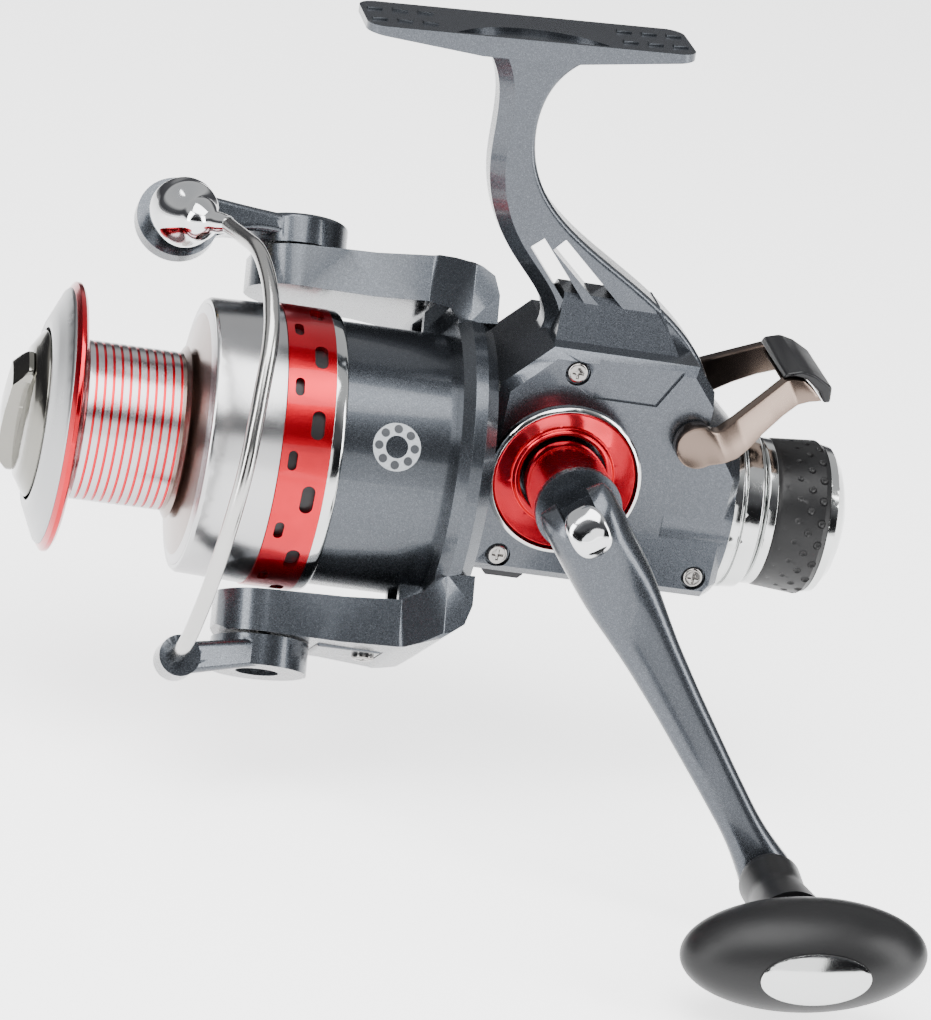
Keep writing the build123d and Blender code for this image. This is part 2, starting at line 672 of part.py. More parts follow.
def main_shaft():
    shaft = tube(shaft_front, shaft_rear, shaft_radius)
    return on_axis * shaft


def pinion_gear():
    """Pinion: teeth inside the case, a long sleeve forward through the nose, all bored for the shaft."""
    bore = shaft_radius + running_gap
    gear = Pos(body_front + 3.2, 0, 0) * spur(pinion_teeth, pinion_tip, pinion_tip - 1.0, 9.0, bore)
    sleeve = tube(rotor_web - 6.5, body_front + 3.2, sleeve_radius, bore)
    return on_axis * Rot(360 / pinion_teeth / 2, 0, 0) * (gear + sleeve)


def oscillation_gear():
    """Driven by the small gear on the crank shaft; its eccentric pin faces the slider."""
    y0 = body_half - 9.0
    gear = spur(28, oscillation_large, oscillation_large - 0.9, 2.2, 1.6 + running_gap)
    gear += Pos(2.2, -eccentric, 0) * Rot(0, 90, 0) * Cylinder(1.2, 0.8, align=low)
    place = Pos(gear_boss_x, y0 + 2.2, gear_boss_z) * Rot(0, 0, -90)
    return place * gear


def oscillation_slider():
    """Block clamped on the shaft; the slot on its far side takes the eccentric pin."""
    half = slider_half
    body = block(slider_x, slider_x + 2 * half, -3.4, 5.8, -guide_drop - 2.2, 4.8)
    slot = block(slider_x + half - 1.5, slider_x + half + 1.5, 3.6, 7, -guide_drop - 1.0, 8)
    body -= slot
    body -= tube(slider_x - 1, slider_x + 2 * half + 1, shaft_radius)
    body -= Pos(0, 0, -guide_drop) * tube(slider_x - 1, slider_x + 2 * half + 1, 1.2 + running_gap)
    return on_axis * body


def guide_rod():
    return on_axis * Pos(0, 0, -guide_drop) * tube(body_front + 1.0, body_rear - body_wall - 1, 1.2)


def rear_bush():
    return on_axis * tube(body_rear - 6.5, body_rear - 1.8, shaft_radius + 1.6, shaft_radius + running_gap)


def pinion_bearing():
    return on_axis * tube(body_front - 4.8, body_front, nose_radius - 2.4, sleeve_radius + running_gap)


def one_way_clutch():
    return on_axis * tube(body_front - 13.0, body_front - 5.0, nose_radius - 2.4,
                          sleeve_radius + running_gap)


# ---- Rotor --------------------------------------------------------------------------------------
rotor_web = body_front - nose_length - 5.2      # front face station of the rotor's web
web_thickness = 3.6


def rotor_arm_profile(outer):
    """(x, z) outline of one arm, from its rounded rear corner to the flat tip."""
    tip = bail_pivot_x - bail_boss_radius
    inner = arm_inner
    return [(tip, inner), (tip, outer - 1.6), (tip + 1.8, outer - 0.4), (tip + 18, outer), (-6.0, outer + 0.3),
            (rotor_rear - 5.0, outer - 1.4), (rotor_rear - 1.2, outer - 4.2), (rotor_rear, outer - 8.0),
            (rotor_rear, rotor_plate_radius - 8.0), (rotor_rear - rotor_plate, rotor_plate_radius - 8.0),
            (rotor_rear - rotor_plate, inner - 4.6), (rotor_rear - rotor_plate - 1.6, inner - 2.2),
            (rotor_rear - rotor_plate - 5.2, inner - 0.6)]


def rotor_arm(outer):
    profile = make_face(Polyline(*[(x, 0, z) for x, z in rotor_arm_profile(outer)], close=True))
    half = arm_root_width / 2
    arm = extrude(Pos(0, -half, 0) * profile, amount=2 * half, dir=(0, 1, 0))
    tip_half = arm_tip_width / 2
    tip = bail_pivot_x
    sides = Polyline((tip, tip_half), (tip + 14, tip_half + 0.6), (rotor_rear - 12, tip_half + 4.0),
                     (rotor_rear - 5, half - 2.0), (rotor_rear + 1, half), (rotor_rear + 1, -half),
                     (rotor_rear - 5, -half + 2.0), (rotor_rear - 12, -tip_half - 4.0),
                     (tip + 14, -tip_half - 0.6), (tip, -tip_half))
    plan = make_face(sides + CenterArc((tip, 0), tip_half, 90, 180))
    arm &= extrude(plan, amount=80)
    rim = tube(tip - 20, rotor_rear + 1, arm_outer + 3.4)
    return arm & rim


def rotor():
    part = tube(rotor_front, rotor_rear - 1.0, rotor_radius, rotor_radius - 1.8)
    part += tube(rotor_web, rotor_web + web_thickness, rotor_radius - 1.0, sleeve_radius + running_gap)
    x0, x1, r = rotor_rear - rotor_plate, rotor_rear, rotor_plate_radius
    part += turned([(x0, rotor_radius - 1.8), (x0, r - 2.0), (x0 + 2.0, r), (x1 - 2.6, r), (x1, r - 2.4),
                    (x1, nose_radius + 1.6), (x1 - 3.0, nose_radius + 1.6), (x1 - 3.0, rotor_radius - 1.8)])
    for index in range(2):
        part += Rot(index * 180, 0, 0) * rotor_arm(arm_outer)
        for side in (-1, 1):
            rib = block(rotor_rear - rotor_plate - 4.2, rotor_rear - rotor_plate + 1,
                        side * 5.6 - 0.9, side * 5.6 + 0.9, rotor_radius - 1.0, arm_inner + 1.0)
            part += Rot(index * 180, 0, 0) * rib
        # Pocket for the bail spring and kick lever under each arm cover
        part -= Rot(index * 180, 0, 0) * block(pocket_start, pocket_end, -5.0, 5.0, arm_inner + 1.6,
                                               arm_outer + 3)
        part -= Rot(index * 180, 0, 0) * post(bail_pivot_x, 0, arm_inner + 1.6, arm_outer + 3,
                                              pivot_radius + running_gap)
    return on_rotor * part


pivot_radius = 2.0
pocket_start = bail_pivot_x + bail_boss_radius + 0.8
pocket_end = rotor_rear - 13.0
cover_screw_x = pocket_end - 3.0


def arm_cover(index):
    """Cover plate let into the arm over its pocket."""
    z0 = arm_outer - 1.2
    plate = block(pocket_start + 0.1, pocket_end - 0.1, -4.9, 4.9, z0, arm_outer + 0.5)
    plate = chamfer(plate.faces().sort_by(Axis.Z)[-1].edges(), 0.4)
    plate -= post(cover_screw_x, 0, arm_inner, arm_outer + 3, 1.2)
    return on_rotor * Rot(index * 180, 0, 0) * plate


def arm_cover_screws():
    return [on_rotor * Rot(index * 180, 0, 0) * Pos(cover_screw_x, 0, arm_outer + 0.5)
            * screw(2.2, 0.9, 1.2, 4.6) for index in range(2)]


def rotor_nut():
    nut = extrude(RegularPolygon(8.4, 6), amount=3.2)
    nut -= Cylinder(sleeve_radius, 20)
    return on_axis * Pos(rotor_web - 3.2, 0, 0) * Rot(0, 90, 0) * nut


def bail_spring():
    """Torsion spring in the upper arm's pocket."""
    path = Helix(pitch=1.3, height=2.6, radius=2.9)
    coil = sweep(Plane(path @ 0, z_dir=path % 0) * Circle(0.4), path=path)
    return on_rotor * Pos(pocket_start + 3.8, -1.2, arm_inner + 2.0) * coil


# ---- Bail ---------------------------------------------------------------------------------------
# Drawn in the rotor's frame with the bail shut. Z is the pivot direction.
boss_base = arm_outer + clear_gap
bail_reach = 25.0
bail_place = on_rotor * Pos(bail_pivot_x, 0, 0)
head_x = -bail_reach * cos(radians(bail_angle)) - 6.6
head_y = -9.0
head_z = boss_base + 1.6
head_tilt = 8.0


def head_place():
    """X of this frame is the roller's axis, towards the crank side."""
    return Pos(head_x, head_y, head_z) * Rot(0, 0, -90) * Rot(0, -head_tilt, 0)


def bail_arm():
    """Cast arm: boss over the pivot, a tapering blade, and the head plate behind the roller."""
    top = boss_base + bail_boss_height
    boss = post(0, 0, boss_base, top, bail_boss_radius)
    boss = fillet(boss.edges().sort_by(Axis.Z)[-1], 1.0)
    head = head_place() * tube(-3.2, 0, 8.2)
    blade = loft([
        Pos(-2.0, -1.5, boss_base + 2.8) * Rot(0, 0, bail_angle - 22) * Rot(0, -90, 0) * RectangleRounded(
            5.2, 14.0, 1.2),
        Pos(head_x * 0.55, head_y * 0.55 + 1.0, boss_base + 3.6) * Rot(0, 0, 18) * Rot(0, -90, 0)
        * RectangleRounded(5.4, 9.6, 1.2),
        Pos(head_x + 5.0, head_y + 1.9, head_z + 0.6) * Rot(0, 0, 8) * Rot(0, -90, 0) * RectangleRounded(
            9.6, 4.0, 1.0)])
    part = boss + blade + head
    part -= post(0, 0, 0, boss_base + 3.2, pivot_radius + running_gap)
    part -= post(0, 0, boss_base + 2.4, top + 1, 4.2)
    part -= head_place() * tube(-6, 1, 1.2)
    return bail_place * part


def bail_holder():
    """Lower ear: boss under the lower rotor arm with a lobe that takes the wire's end."""
    base = -boss_base
    boss = post(0, 0, base - bail_boss_height, base, bail_boss_radius)
    lobe_x, lobe_y, lobe_z = wire_points[-1]
    lobe = Pos(lobe_x + 0.6, lobe_y + 1.8, lobe_z) * Rot(90, 0, 0) * Cylinder(4.0, 7.0)
    web = loft([
        Pos(-3.0, -2.0, base - 3.0) * Rot(0, 0, 30) * Rot(0, -90, 0) * RectangleRounded(5.4, 13.0, 1.2),
        Pos(lobe_x + 1.2, lobe_y + 2.6, lobe_z) * Rot(0, 0, 20) * Rot(0, -90, 0) * RectangleRounded(
            6.4, 6.0, 1.4)])
    part = boss + web + lobe
    part -= block(-30, 30, -30, 30, base, base + 20) & post(0, 0, base, base + 20, 17)
    part -= post(0, 0, base - 3.2, 0, pivot_radius + running_gap)
    part -= post(0, 0, base - bail_boss_height - 1, base - 2.4, 4.2)
    part -= wire_socket()
    return bail_place * part


wire_points = ((-19.6, -26.0, 36.6), (-15.3, -45.8, 27.0), (-13.6, -51.9, 18.8), (-13.3, -56.8, 8.2),
               (-14.4, -57.0, -3.6), (-15.4, -56.0, -16.4), (-16.6, -50.5, -27.4), (-17.6, -40.0, -37.6),
               (-18.4, -26.0, -45.4), (-18.6, -15.0, -46.4))


def wire_path(points):
    bends = []
    for before, here, after in zip(points, points[1:], points[2:]):
        a = Vector(*here) - Vector(*before)
        b = Vector(*after) - Vector(*here)
        turn = radians(a.get_angle(b))
        bends.append(0.45 * min(a.length, b.length) / max(0.02, abs(sin(turn / 2) / cos(turn / 2))))
    return FilletPolyline(*points, radius=bends)


def bail_wire():
    path = wire_path(wire_points)
    wire = sweep(Plane(path @ 0, z_dir=path % 0) * Circle(bail_wire_radius), path=path)
    return bail_place * wire


def wire_socket():
    """Hole for the wire's last straight stretch."""
    start, end = Vector(*wire_points[-2]), Vector(*wire_points[-1])
    direction = (end - start).normalized()
    return along(end - direction * 8, end + direction * 0.0, bail_wire_radius)


def line_roller():
    """Waisted guide roller between the head plate and the nose cone."""
    r = roller_radius
    bore = 1.2 + running_gap
    profile = [(clear_gap, bore), (clear_gap, r), (1.4, r - 0.9), (3.4, r - 0.9), (4.8, r), (4.8, bore)]
    return bail_place * head_place() * turned(profile)


def nose_cone():
    """Chrome shell that carries the line onto the roller; the wire grows out of its rear."""
    base = 4.8 + clear_gap
    shell = scale(Sphere(1.0), by=(6.6, 7.6, 6.0))
    shell = Pos(base - 0.5, -0.2, 0) * shell
    shell -= block(-30, base, -30, 30, -30, 30)
    root = wire_points[0]
    part = head_place() * shell
    toward = Vector(*root)
    part += along(Vector(head_x + 1.6, head_y - 9.0, head_z - 1.0), toward, bail_wire_radius + 0.9)
    part -= head_place() * tube(-1, base + 3.4, 1.2)
    part -= head_place() * tube(base + 3.4, base + 20, 2.0)
    return bail_place * part


def roller_screw():
    base = 4.8 + clear_gap
    pin = tube(-3.2, base + 3.4, 1.2)
    head = tube(base + 3.4, base + 5.4, 1.9)
    head -= block(base + 4.8, base + 6, -0.3, 0.3, -3, 3)
    return bail_place * head_place() * (pin + head)


def bail_screws():
    """Pivot screws: one through each ear into its rotor arm."""
    pieces = []
    for side in (1, -1):
        flip = Rot(0 if side > 0 else 180, 0, 0)
        pin = post(0, 0, arm_inner + 1.8, boss_base + 2.5, pivot_radius)
        head = post(0, 0, boss_base + 2.5 + 0.2, boss_base + 4.6, 3.8)
        head -= block(-3, 3, -0.4, 0.4, boss_base + 4.0, boss_base + 6)
        neck = post(0, 0, boss_base + 2.4, boss_base + 2.8, pivot_radius)
        pieces.append(bail_place * flip * (pin + neck + head))
    return pieces


# ---- Spool --------------------------------------------------------------------------------------
arbor_front = skirt_front - 3.6 - arbor_length


def spool_core():
    """Arbor with its rear cone, the web on the shaft, and the front cavity for the drag stack."""
    x0, x1, r = arbor_front - 2.0, skirt_front - 3.6, arbor_radius
    bore = drag_knob_radius - 2.8
    web = x1 - 6.0
    core = turned([(x0 - 3.4, bore), (x0 - 3.4, r - 0.6), (x0, r), (x1, r), (x1 + 0.8, r + 1.4), (x1 + 1.6, r),
                   (skirt_front - 0.4, skirt_front_radius - 2.2), (skirt_front, skirt_front_radius - 0.9),
                   (skirt_front + 2.0, skirt_front_radius - 0.9), (skirt_front + 2.0, r + 2.0),
                   (x1 + 3.0, r - 2.0), (x1 + 3.0, shaft_radius + 4.4), (web, shaft_radius + 4.4),
                   (web, shaft_radius + clear_gap), (web - 2.0, shaft_radius + clear_gap), (web - 2.0, bore)])
    for index in range(11):
        x = x0 + 1.2 + index * (x1 - x0 - 2.4) / 10
        core -= tube(x, x + 0.55, r + 1, r - 0.35)
    return on_axis * core


def spool_lip():
    """Red anodised line lip."""
    x, r, a = spool_front, lip_radius, arbor_radius
    rear = arbor_front - 2.0
    bore = a - 0.6
    return on_axis * turned([(x + 0.2, r - 1.2), (x + 1.0, r), (x + 1.8, r), (x + 2.4, r - 0.9),
                             (rear - 1.0, a + 2.6), (rear, a + 1.0), (rear, a), (rear - 3.4, bore),
                             (x + 0.2, bore)])


def spool_front_ring():
    """Bright chamfered ring in front of the lip."""
    x, r = spool_front, lip_radius
    inner = drag_knob_radius + free_gap
    return on_axis * turned([(x + 0.2, inner - 2.2), (x + 0.2, r - 1.2), (x - 0.4, r - 1.7),
                             (x - 3.2, inner + 1.8), (x - 3.2, inner), (x - 0.6, inner),
                             (x - 0.6, inner - 2.2)])


def spool_skirt():
    """Polished front part of the skirt."""
    x0, x1 = skirt_front, skirt_band_start
    f, r, b = skirt_front_radius, skirt_radius - 0.3, skirt_bore
    return on_axis * turned([(x0, f - 0.9), (x0, f), (x0 + 0.8, f + 0.5), (x1, r), (x1, b), (x0 + 3.0, b - 0.1),
                             (x0 + 2.0, f - 0.9)])


def skirt_band():
    """Red perforated band."""
    x0, x1 = skirt_band_start, skirt_ring_start
    band = tube(x0, x1, skirt_radius, skirt_bore)
    for index in range(band_holes):
        step = 360 / band_holes
        big = SlotOverall(5.6, 2.6)
        small = SlotOverall(3.8, 1.8)
        place = Rot(index * step, 0, 0) * Pos(x1 - 3.0, 0, 0)
        band -= place * extrude(Rot(0, 0, 90) * big, amount=40)
        place = Rot((index + 0.5) * step, 0, 0) * Pos(x0 + 2.3, 0, 0)
        band -= place * extrude(Rot(0, 0, 90) * small, amount=40)
    return on_axis * band


def skirt_ring():
    """Bright rolled ring at the skirt's rear."""
    x0, x1, r = skirt_ring_start, skirt_end, skirt_radius
    return on_axis * turned([(x0, skirt_bore), (x0, r), (x1 - 0.9, r - 0.1), (x1 - 0.2, r - 0.5),
                             (x1, skirt_bore + 0.1), (x1, skirt_bore)])


def spool_bearing():
    x1 = skirt_front - 3.6 + 3.0
    return on_axis * tube(x1 - 4.0, x1, shaft_radius + 4.4, shaft_radius + running_gap)


def drag_washers(kind):
    """Front drag stack in the spool: metal and felt discs in turn."""
    deepest = skirt_front - 3.6 - 8.0
    pitch = 1.5
    start = 0 if kind == "metal" else 1
    return [on_axis * tube(deepest - (index + 1) * pitch + 0.05, deepest - index * pitch,
                           drag_knob_radius - 3.2, shaft_radius + clear_gap)
            for index in range(start, 5, 2)]


def drag_clip():
    """Sprung wire ring that keeps the drag stack in."""
    x = skirt_front - 3.6 - 8.0 - 5 * 1.5 - 0.1
    return on_axis * tube(x - 0.9, x, drag_knob_radius - 2.8, drag_knob_radius - 5.0)


def click_gear():
    """Ratchet wheel behind the spool's web, fixed to the shaft."""
    gear = spur(24, 9.0, 8.0, 1.6, shaft_radius)
    return on_axis * Pos(skirt_front + 3.0, 0, 0) * gear


def click_pawl():
    """Sprung pawl on the back of the spool that rides the ratchet."""
    x = skirt_front + 2.0
    pawl = block(x, x + 2.6, -1.2, 1.2, 9.4, 15.0)
    foot_pad = block(x, x + 0.8, -2.4, 2.4, 14.0, arbor_radius + 5.0)
    return on_axis * Rot(60, 0, 0) * (pawl + foot_pad)


# ---- Front drag knob ----------------------------------------------------------------------------
knob_rear = spool_front - 0.9


def front_knob():
    """Chrome drag knob with a raised wing across it."""
    r, x = drag_knob_radius, knob_rear
    base = turned([(x, 0), (x, r - 0.6), (x - 0.6, r), (x - 2.6, r), (x - 3.4, r - 0.9), (x - 5.0, r - 3.4),
                   (x - 5.6, r - 6.8), (x - 5.8, 0)])
    wing = Pos(x - 6.4, 0, 0) * Rot(0, 90, 0) * Rot(0, 0, 20) * extrude(
        Rectangle(2 * (r - 2.6), 7.4), amount=4.2, both=False)
    wing = Pos(-2.9, 0, 0) * wing
    wing = fillet(wing.edges().filter_by(Axis.X), 3.0)
    wing &= turned([(x, 0), (x, r - 2.4), (x - 6.0, r - 3.2), (x - 8.6, r - 6.4), (x - 9.2, 0)])
    bore = tube(shaft_front - 1.4, x + 1, shaft_radius + clear_gap)
    return on_axis * (base + wing - bore - tube(x - 3.2, x + 1, 6.0))


def knob_insert():
    """Threaded brass insert of the drag knob."""
    x = knob_rear
    return on_axis * tube(x - 3.2, x + 1.6, 6.0, shaft_radius + running_gap)


# ---- Write every sub-part ------------------------------------------------------------------------
save("housing", housing())
save("side_cover", side_cover())
save("cover_screws", cover_screws())
save("rear_collar", rear_collar())
save("rear_bush", rear_bush())
save("guide_rod", guide_rod())
save("pinion_bearing", pinion_bearing())
save("one_way_clutch", one_way_clutch())
save("drive_bearings", [drive_bearing(cover_split + 0.1, 7.0), drive_bearing(-(body_half - 2.8), 6.6)])
save("bore_cap", bore_cap())
save("bearing_cap", bearing_cap())
save("bearing_cap_rim", bearing_cap_rim())
save("rear_drag_washers", rear_washers("metal") + rear_washers("fibre"))
save("rear_knob_ring", knob_ring())
save("rear_knob_grip", knob_grip())
save("rear_knob_core", knob_core())
save("rear_knob_nut", drag_nut())
save("rear_drag_spring", rear_spring())
save("freespool_lever", freespool_lever())
save("lever_thumb_pad", thumb_pad())
save("lever_pin", lever_pin())
save("reverse_switch", reverse_switch())
save("drive_gear", drive_gear())
save("crank_shaft", crank_shaft())
save("oscillation_gear", oscillation_gear())
save("fold_block", fold_block())
save("fold_pin", fold_pin())
save("handle_arm", handle_arm())
save("knob_post", knob_post())
save("handle_knob_neck", knob_neck())
save("handle_knob_grip", knob_grip_shape())
save("handle_knob_badge", knob_badge())
save("main_shaft", main_shaft())
save("oscillation_slider", oscillation_slider())
save("click_gear", click_gear())
save("pinion_gear", pinion_gear())
save("rotor", rotor())
save("rotor_nut", rotor_nut())
save("arm_covers", [arm_cover(0), arm_cover(1)])
save("arm_cover_screws", arm_cover_screws())
save("bail_spring", bail_spring())
save("bail_screws", bail_screws())
save("bail_arm", bail_arm())
save("bail_holder", bail_holder())
save("bail_wire", bail_wire())
save("nose_cone", nose_cone())
save("roller_screw", roller_screw())
save("line_roller", line_roller())
save("spool_core", spool_core())
save("spool_lip", spool_lip())
save("spool_skirt", spool_skirt())
save("spool_front_ring", spool_front_ring())
save("skirt_band", skirt_band())
save("skirt_ring", skirt_ring())
save("spool_bearing", spool_bearing())
save("drag_washers", drag_washers("metal") + drag_washers("felt"))
save("drag_clip", drag_clip())
save("click_pawl", click_pawl())
save("front_drag_knob", front_knob())
save("front_knob_insert", knob_insert())
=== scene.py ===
"""Spinning reel: finishes, studio and the pieces whose surfaces the machined parts can't give.

Metres, in the reel's own frame: origin at the foot's seat face, +X to the rear knob, crank on -Y.
The cone's path, the lever and the crank arm are drawn in millimetres, from the axis each turns on.
The file follows the reel as it is put together, one section for each piece or group of pieces.
"""
import bpy
import json
from math import cos, pi, radians, sin
from mathutils import Matrix, Vector


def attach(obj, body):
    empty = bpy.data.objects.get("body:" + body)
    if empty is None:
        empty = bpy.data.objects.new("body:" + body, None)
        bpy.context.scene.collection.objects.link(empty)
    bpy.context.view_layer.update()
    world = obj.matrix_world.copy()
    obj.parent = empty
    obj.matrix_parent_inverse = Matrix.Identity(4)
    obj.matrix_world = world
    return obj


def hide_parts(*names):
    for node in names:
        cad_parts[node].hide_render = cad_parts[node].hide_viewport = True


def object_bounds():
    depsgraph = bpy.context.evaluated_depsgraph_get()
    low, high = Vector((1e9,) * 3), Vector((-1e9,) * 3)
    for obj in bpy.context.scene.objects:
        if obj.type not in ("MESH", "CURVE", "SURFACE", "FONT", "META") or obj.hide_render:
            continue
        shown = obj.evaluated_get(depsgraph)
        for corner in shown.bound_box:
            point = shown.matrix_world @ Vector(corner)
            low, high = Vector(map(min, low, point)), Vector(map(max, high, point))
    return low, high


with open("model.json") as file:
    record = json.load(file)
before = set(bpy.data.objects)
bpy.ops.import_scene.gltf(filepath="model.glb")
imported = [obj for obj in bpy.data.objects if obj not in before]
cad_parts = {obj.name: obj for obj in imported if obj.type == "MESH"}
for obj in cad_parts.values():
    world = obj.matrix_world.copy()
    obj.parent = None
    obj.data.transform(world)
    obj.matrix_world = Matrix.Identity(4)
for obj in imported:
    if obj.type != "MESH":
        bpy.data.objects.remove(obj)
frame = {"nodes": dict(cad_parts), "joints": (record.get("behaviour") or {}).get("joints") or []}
nodes = frame["nodes"]
pivots = {joint["name"]: joint.get("pos_m") for joint in frame["joints"]}
cad_low, cad_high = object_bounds()


# ---- Casting: foot, stem and gear case -----------------------------------------------------------
# Die-cast aluminium with its side cover, sprayed a satin graphite with fine metal flake and
# stoved. The flake sparkles under the light and the edges are rounded by the casting.
def shader_for(name, roughness, metallic=0.0, coat=0.0, coat_roughness=0.1, specular=0.5):
    """New material with its shader; returns material, node tree and shader."""
    material = bpy.data.materials.new(name)
    material.use_nodes = True
    tree = material.node_tree
    shader = tree.nodes["Principled BSDF"]
    shader.inputs["Roughness"].default_value = roughness
    shader.inputs["Metallic"].default_value = metallic
    shader.inputs["Coat Weight"].default_value = coat
    shader.inputs["Coat Roughness"].default_value = coat_roughness
    shader.inputs["Specular IOR Level"].default_value = specular
    return material, tree, shader


def node(tree, kind, **inputs):
    """Adds a node and sets its unlinked inputs by name, spaces written as underscores."""
    made = tree.nodes.new("ShaderNode" + kind)
    for key, value in inputs.items():
        made.inputs[key.replace("_", " ")].default_value = value
    return made


def object_place(tree):
    return tree.nodes.new("ShaderNodeTexCoord").outputs["Object"]


def ramp(tree, source, stops):
    """Colour ramp over a 0 to 1 value; stops are (place, colour)."""
    made = tree.nodes.new("ShaderNodeValToRGB")
    elements = made.color_ramp.elements
    while len(elements) < len(stops):
        elements.new(0.5)
    for element, (place, colour) in zip(elements, stops):
        element.position = place
        element.color = colour
    tree.links.new(source, made.inputs["Fac"])
    return made.outputs["Color"]


def level(tree, source, low, high, out_low, out_high):
    """Maps a value's range onto another."""
    made = node(tree, "MapRange", From_Min=low, From_Max=high, To_Min=out_low, To_Max=out_high)
    tree.links.new(source, made.inputs["Value"])
    return made.outputs["Result"]


def multiplied(tree, first, second):
    """Product of two colours."""
    made = tree.nodes.new("ShaderNodeMix")
    made.data_type = "RGBA"
    made.blend_type = "MULTIPLY"
    made.inputs["Factor"].default_value = 1.0
    tree.links.new(first, made.inputs["A"])
    tree.links.new(second, made.inputs["B"])
    return made.outputs["Result"]


def bump(tree, shader, source, strength, distance):
    """Adds one more layer of bump under the ones already there."""
    made = node(tree, "Bump", Strength=strength, Distance=distance)
    tree.links.new(source, made.inputs["Height"])
    socket = shader.inputs["Normal"]
    if socket.links:
        tree.links.new(socket.links[0].from_socket, made.inputs["Normal"])
    tree.links.new(made.outputs["Normal"], socket)


def noise(tree, scale, detail=3.0, rough=0.5, vector=None):
    made = node(tree, "TexNoise", Scale=scale, Detail=detail, Roughness=rough)
    tree.links.new(vector or object_place(tree), made.inputs["Vector"])
    return made.outputs["Fac"]


def colour_by(tree, shader, source, stops):
    """Colours the shader by a 0 to 1 value; stops are (place, colour)."""
    tree.links.new(ramp(tree, source, stops), shader.inputs["Base Color"])


def roughen_by(tree, shader, source, low, high, least, most):
    """Roughness from least to most as the value goes from low to high."""
    tree.links.new(level(tree, source, low, high, least, most), shader.inputs["Roughness"])


def darker(colour, share):
    return tuple(channel * share for channel in colour[:3]) + (1.0,)


def flake_paint(name, dark, light, roughness):
    """Sprayed metallic: fine flakes of two tones, slow cloudy variation, soft clear coat."""
    flakes_per_metre, dark_share = 7600.0, 0.62
    material, tree, shader = shader_for(name, roughness, metallic=0.86, coat=0.3, coat_roughness=0.07)
    cells = node(tree, "TexVoronoi", Scale=flakes_per_metre)
    tree.links.new(object_place(tree), cells.inputs["Vector"])
    tone = node(tree, "SeparateColor")
    tree.links.new(cells.outputs["Color"], tone.inputs["Color"])
    flakes = ramp(tree, tone.outputs["Red"], [(0.0, dark), (dark_share, dark), (1.0, light)])
    cloud = ramp(tree, noise(tree, scale=38.0), [(0.3, (0.90, 0.90, 0.90, 1)), (0.7, (1, 1, 1, 1))])
    tree.links.new(multiplied(tree, flakes, cloud), shader.inputs["Base Color"])
    roughen_by(tree, shader, tone.outputs["Green"], 0, 1, roughness - 0.05, roughness + 0.08)
    bump(tree, shader, tone.outputs["Blue"], strength=0.03, distance=0.00001)
    bump(tree, shader, noise(tree, scale=2600.0, detail=2.0), strength=0.03, distance=0.00002)
    return material


seam_gap = 0.000002
sharp_edge, bevelled_edge = radians(32.0), radians(50.0)


def dress(material, *names, bevel=0.0):
    """Gives machined parts their finish and breaks their sharp edges by the bevel."""
    for name in names:
        part = nodes[name]
        part.data.materials.clear()
        part.data.materials.append(material)
        weld = part.modifiers.new("weld", "WELD")
        weld.merge_threshold = seam_gap
        if bevel:
            edge = part.modifiers.new("edge", "BEVEL")
            edge.width = bevel
            edge.segments = 2
            edge.limit_method = "ANGLE"
            edge.angle_limit = sharp_edge
            edge.use_clamp_overlap = True
        part.data.shade_smooth()
        crisp = part.modifiers.new("crisp", "EDGE_SPLIT")
        crisp.split_angle = bevelled_edge if bevel else sharp_edge
        even = part.modifiers.new("even", "WEIGHTED_NORMAL")
        even.mode = "FACE_AREA"
        even.weight = 60


case_paint = flake_paint("graphite_flake", (0.052, 0.058, 0.068, 1.0), (0.092, 0.100, 0.114, 1.0), 0.27)
dress(case_paint, "housing", "side_cover", bevel=0.00035)


# ---- Chrome trim and steel -----------------------------------------------------------------------
# Hub, collar, rings, knob core and badge, polished and chrome plated, with fine polishing lines
# round the turned ones and faint haze from fingers. The front knob is chrome with a dark brownish
# reflection painted into its colour, the spool's front ring satin aluminium. Screws, shafts,
# bearings and springs are plain steel.
def turning_lines(tree, shader, along, around, strength):
    """Fine lines round a turned piece whose axis lies along X."""
    stretch = node(tree, "Mapping", Scale=(along, around, around))
    tree.links.new(object_place(tree), stretch.inputs["Vector"])
    lines = noise(tree, scale=1.0, detail=2.0, vector=stretch.outputs["Vector"])
    bump(tree, shader, lines, strength, distance=0.00004)


def plated(name, colour, roughness=0.06, lines=0.0, haze=0.05):
    """Polished metal; lines is how strongly its turning lines show."""
    material, tree, shader = shader_for(name, roughness, metallic=1.0)
    cloud = noise(tree, scale=70.0, detail=4.0)
    colour_by(tree, shader, cloud, [(0.35, darker(colour, 0.93)), (0.75, colour)])
    roughen_by(tree, shader, cloud, 0.3, 0.75, roughness, roughness + haze)
    bump(tree, shader, noise(tree, scale=1400.0, detail=2.0), strength=0.02, distance=0.00003)
    if lines:
        turning_lines(tree, shader, 9000.0, 60.0, lines)
    return material


trim_bevel = 0.00015
chrome = plated("bright_chrome", (0.58, 0.59, 0.60, 1.0))
turned_chrome = plated("turned_chrome", (0.54, 0.55, 0.545, 1.0), 0.08, lines=0.05)
# Front knob: chrome whose dark brownish colour is a painted reflection.
painted_reflection_chrome = plated("painted_reflection_chrome", (0.20, 0.195, 0.175, 1.0), 0.09, lines=0.04)
satin_aluminium = plated("satin_aluminium", (0.34, 0.345, 0.35, 1.0), 0.26, lines=0.14)
screw_steel = plated("screw_steel", (0.26, 0.25, 0.24, 1.0), 0.16, lines=0.05)
steel = plated("ground_steel", (0.58, 0.58, 0.59, 1.0), 0.24, lines=0.22)
dress(chrome, "crank_shaft", bevel=trim_bevel)
dress(turned_chrome, "rear_collar", "rear_knob_ring", "rear_knob_core", "bearing_cap_rim",
      "skirt_ring", "handle_knob_badge", bevel=trim_bevel)
dress(painted_reflection_chrome, "front_drag_knob", bevel=trim_bevel)
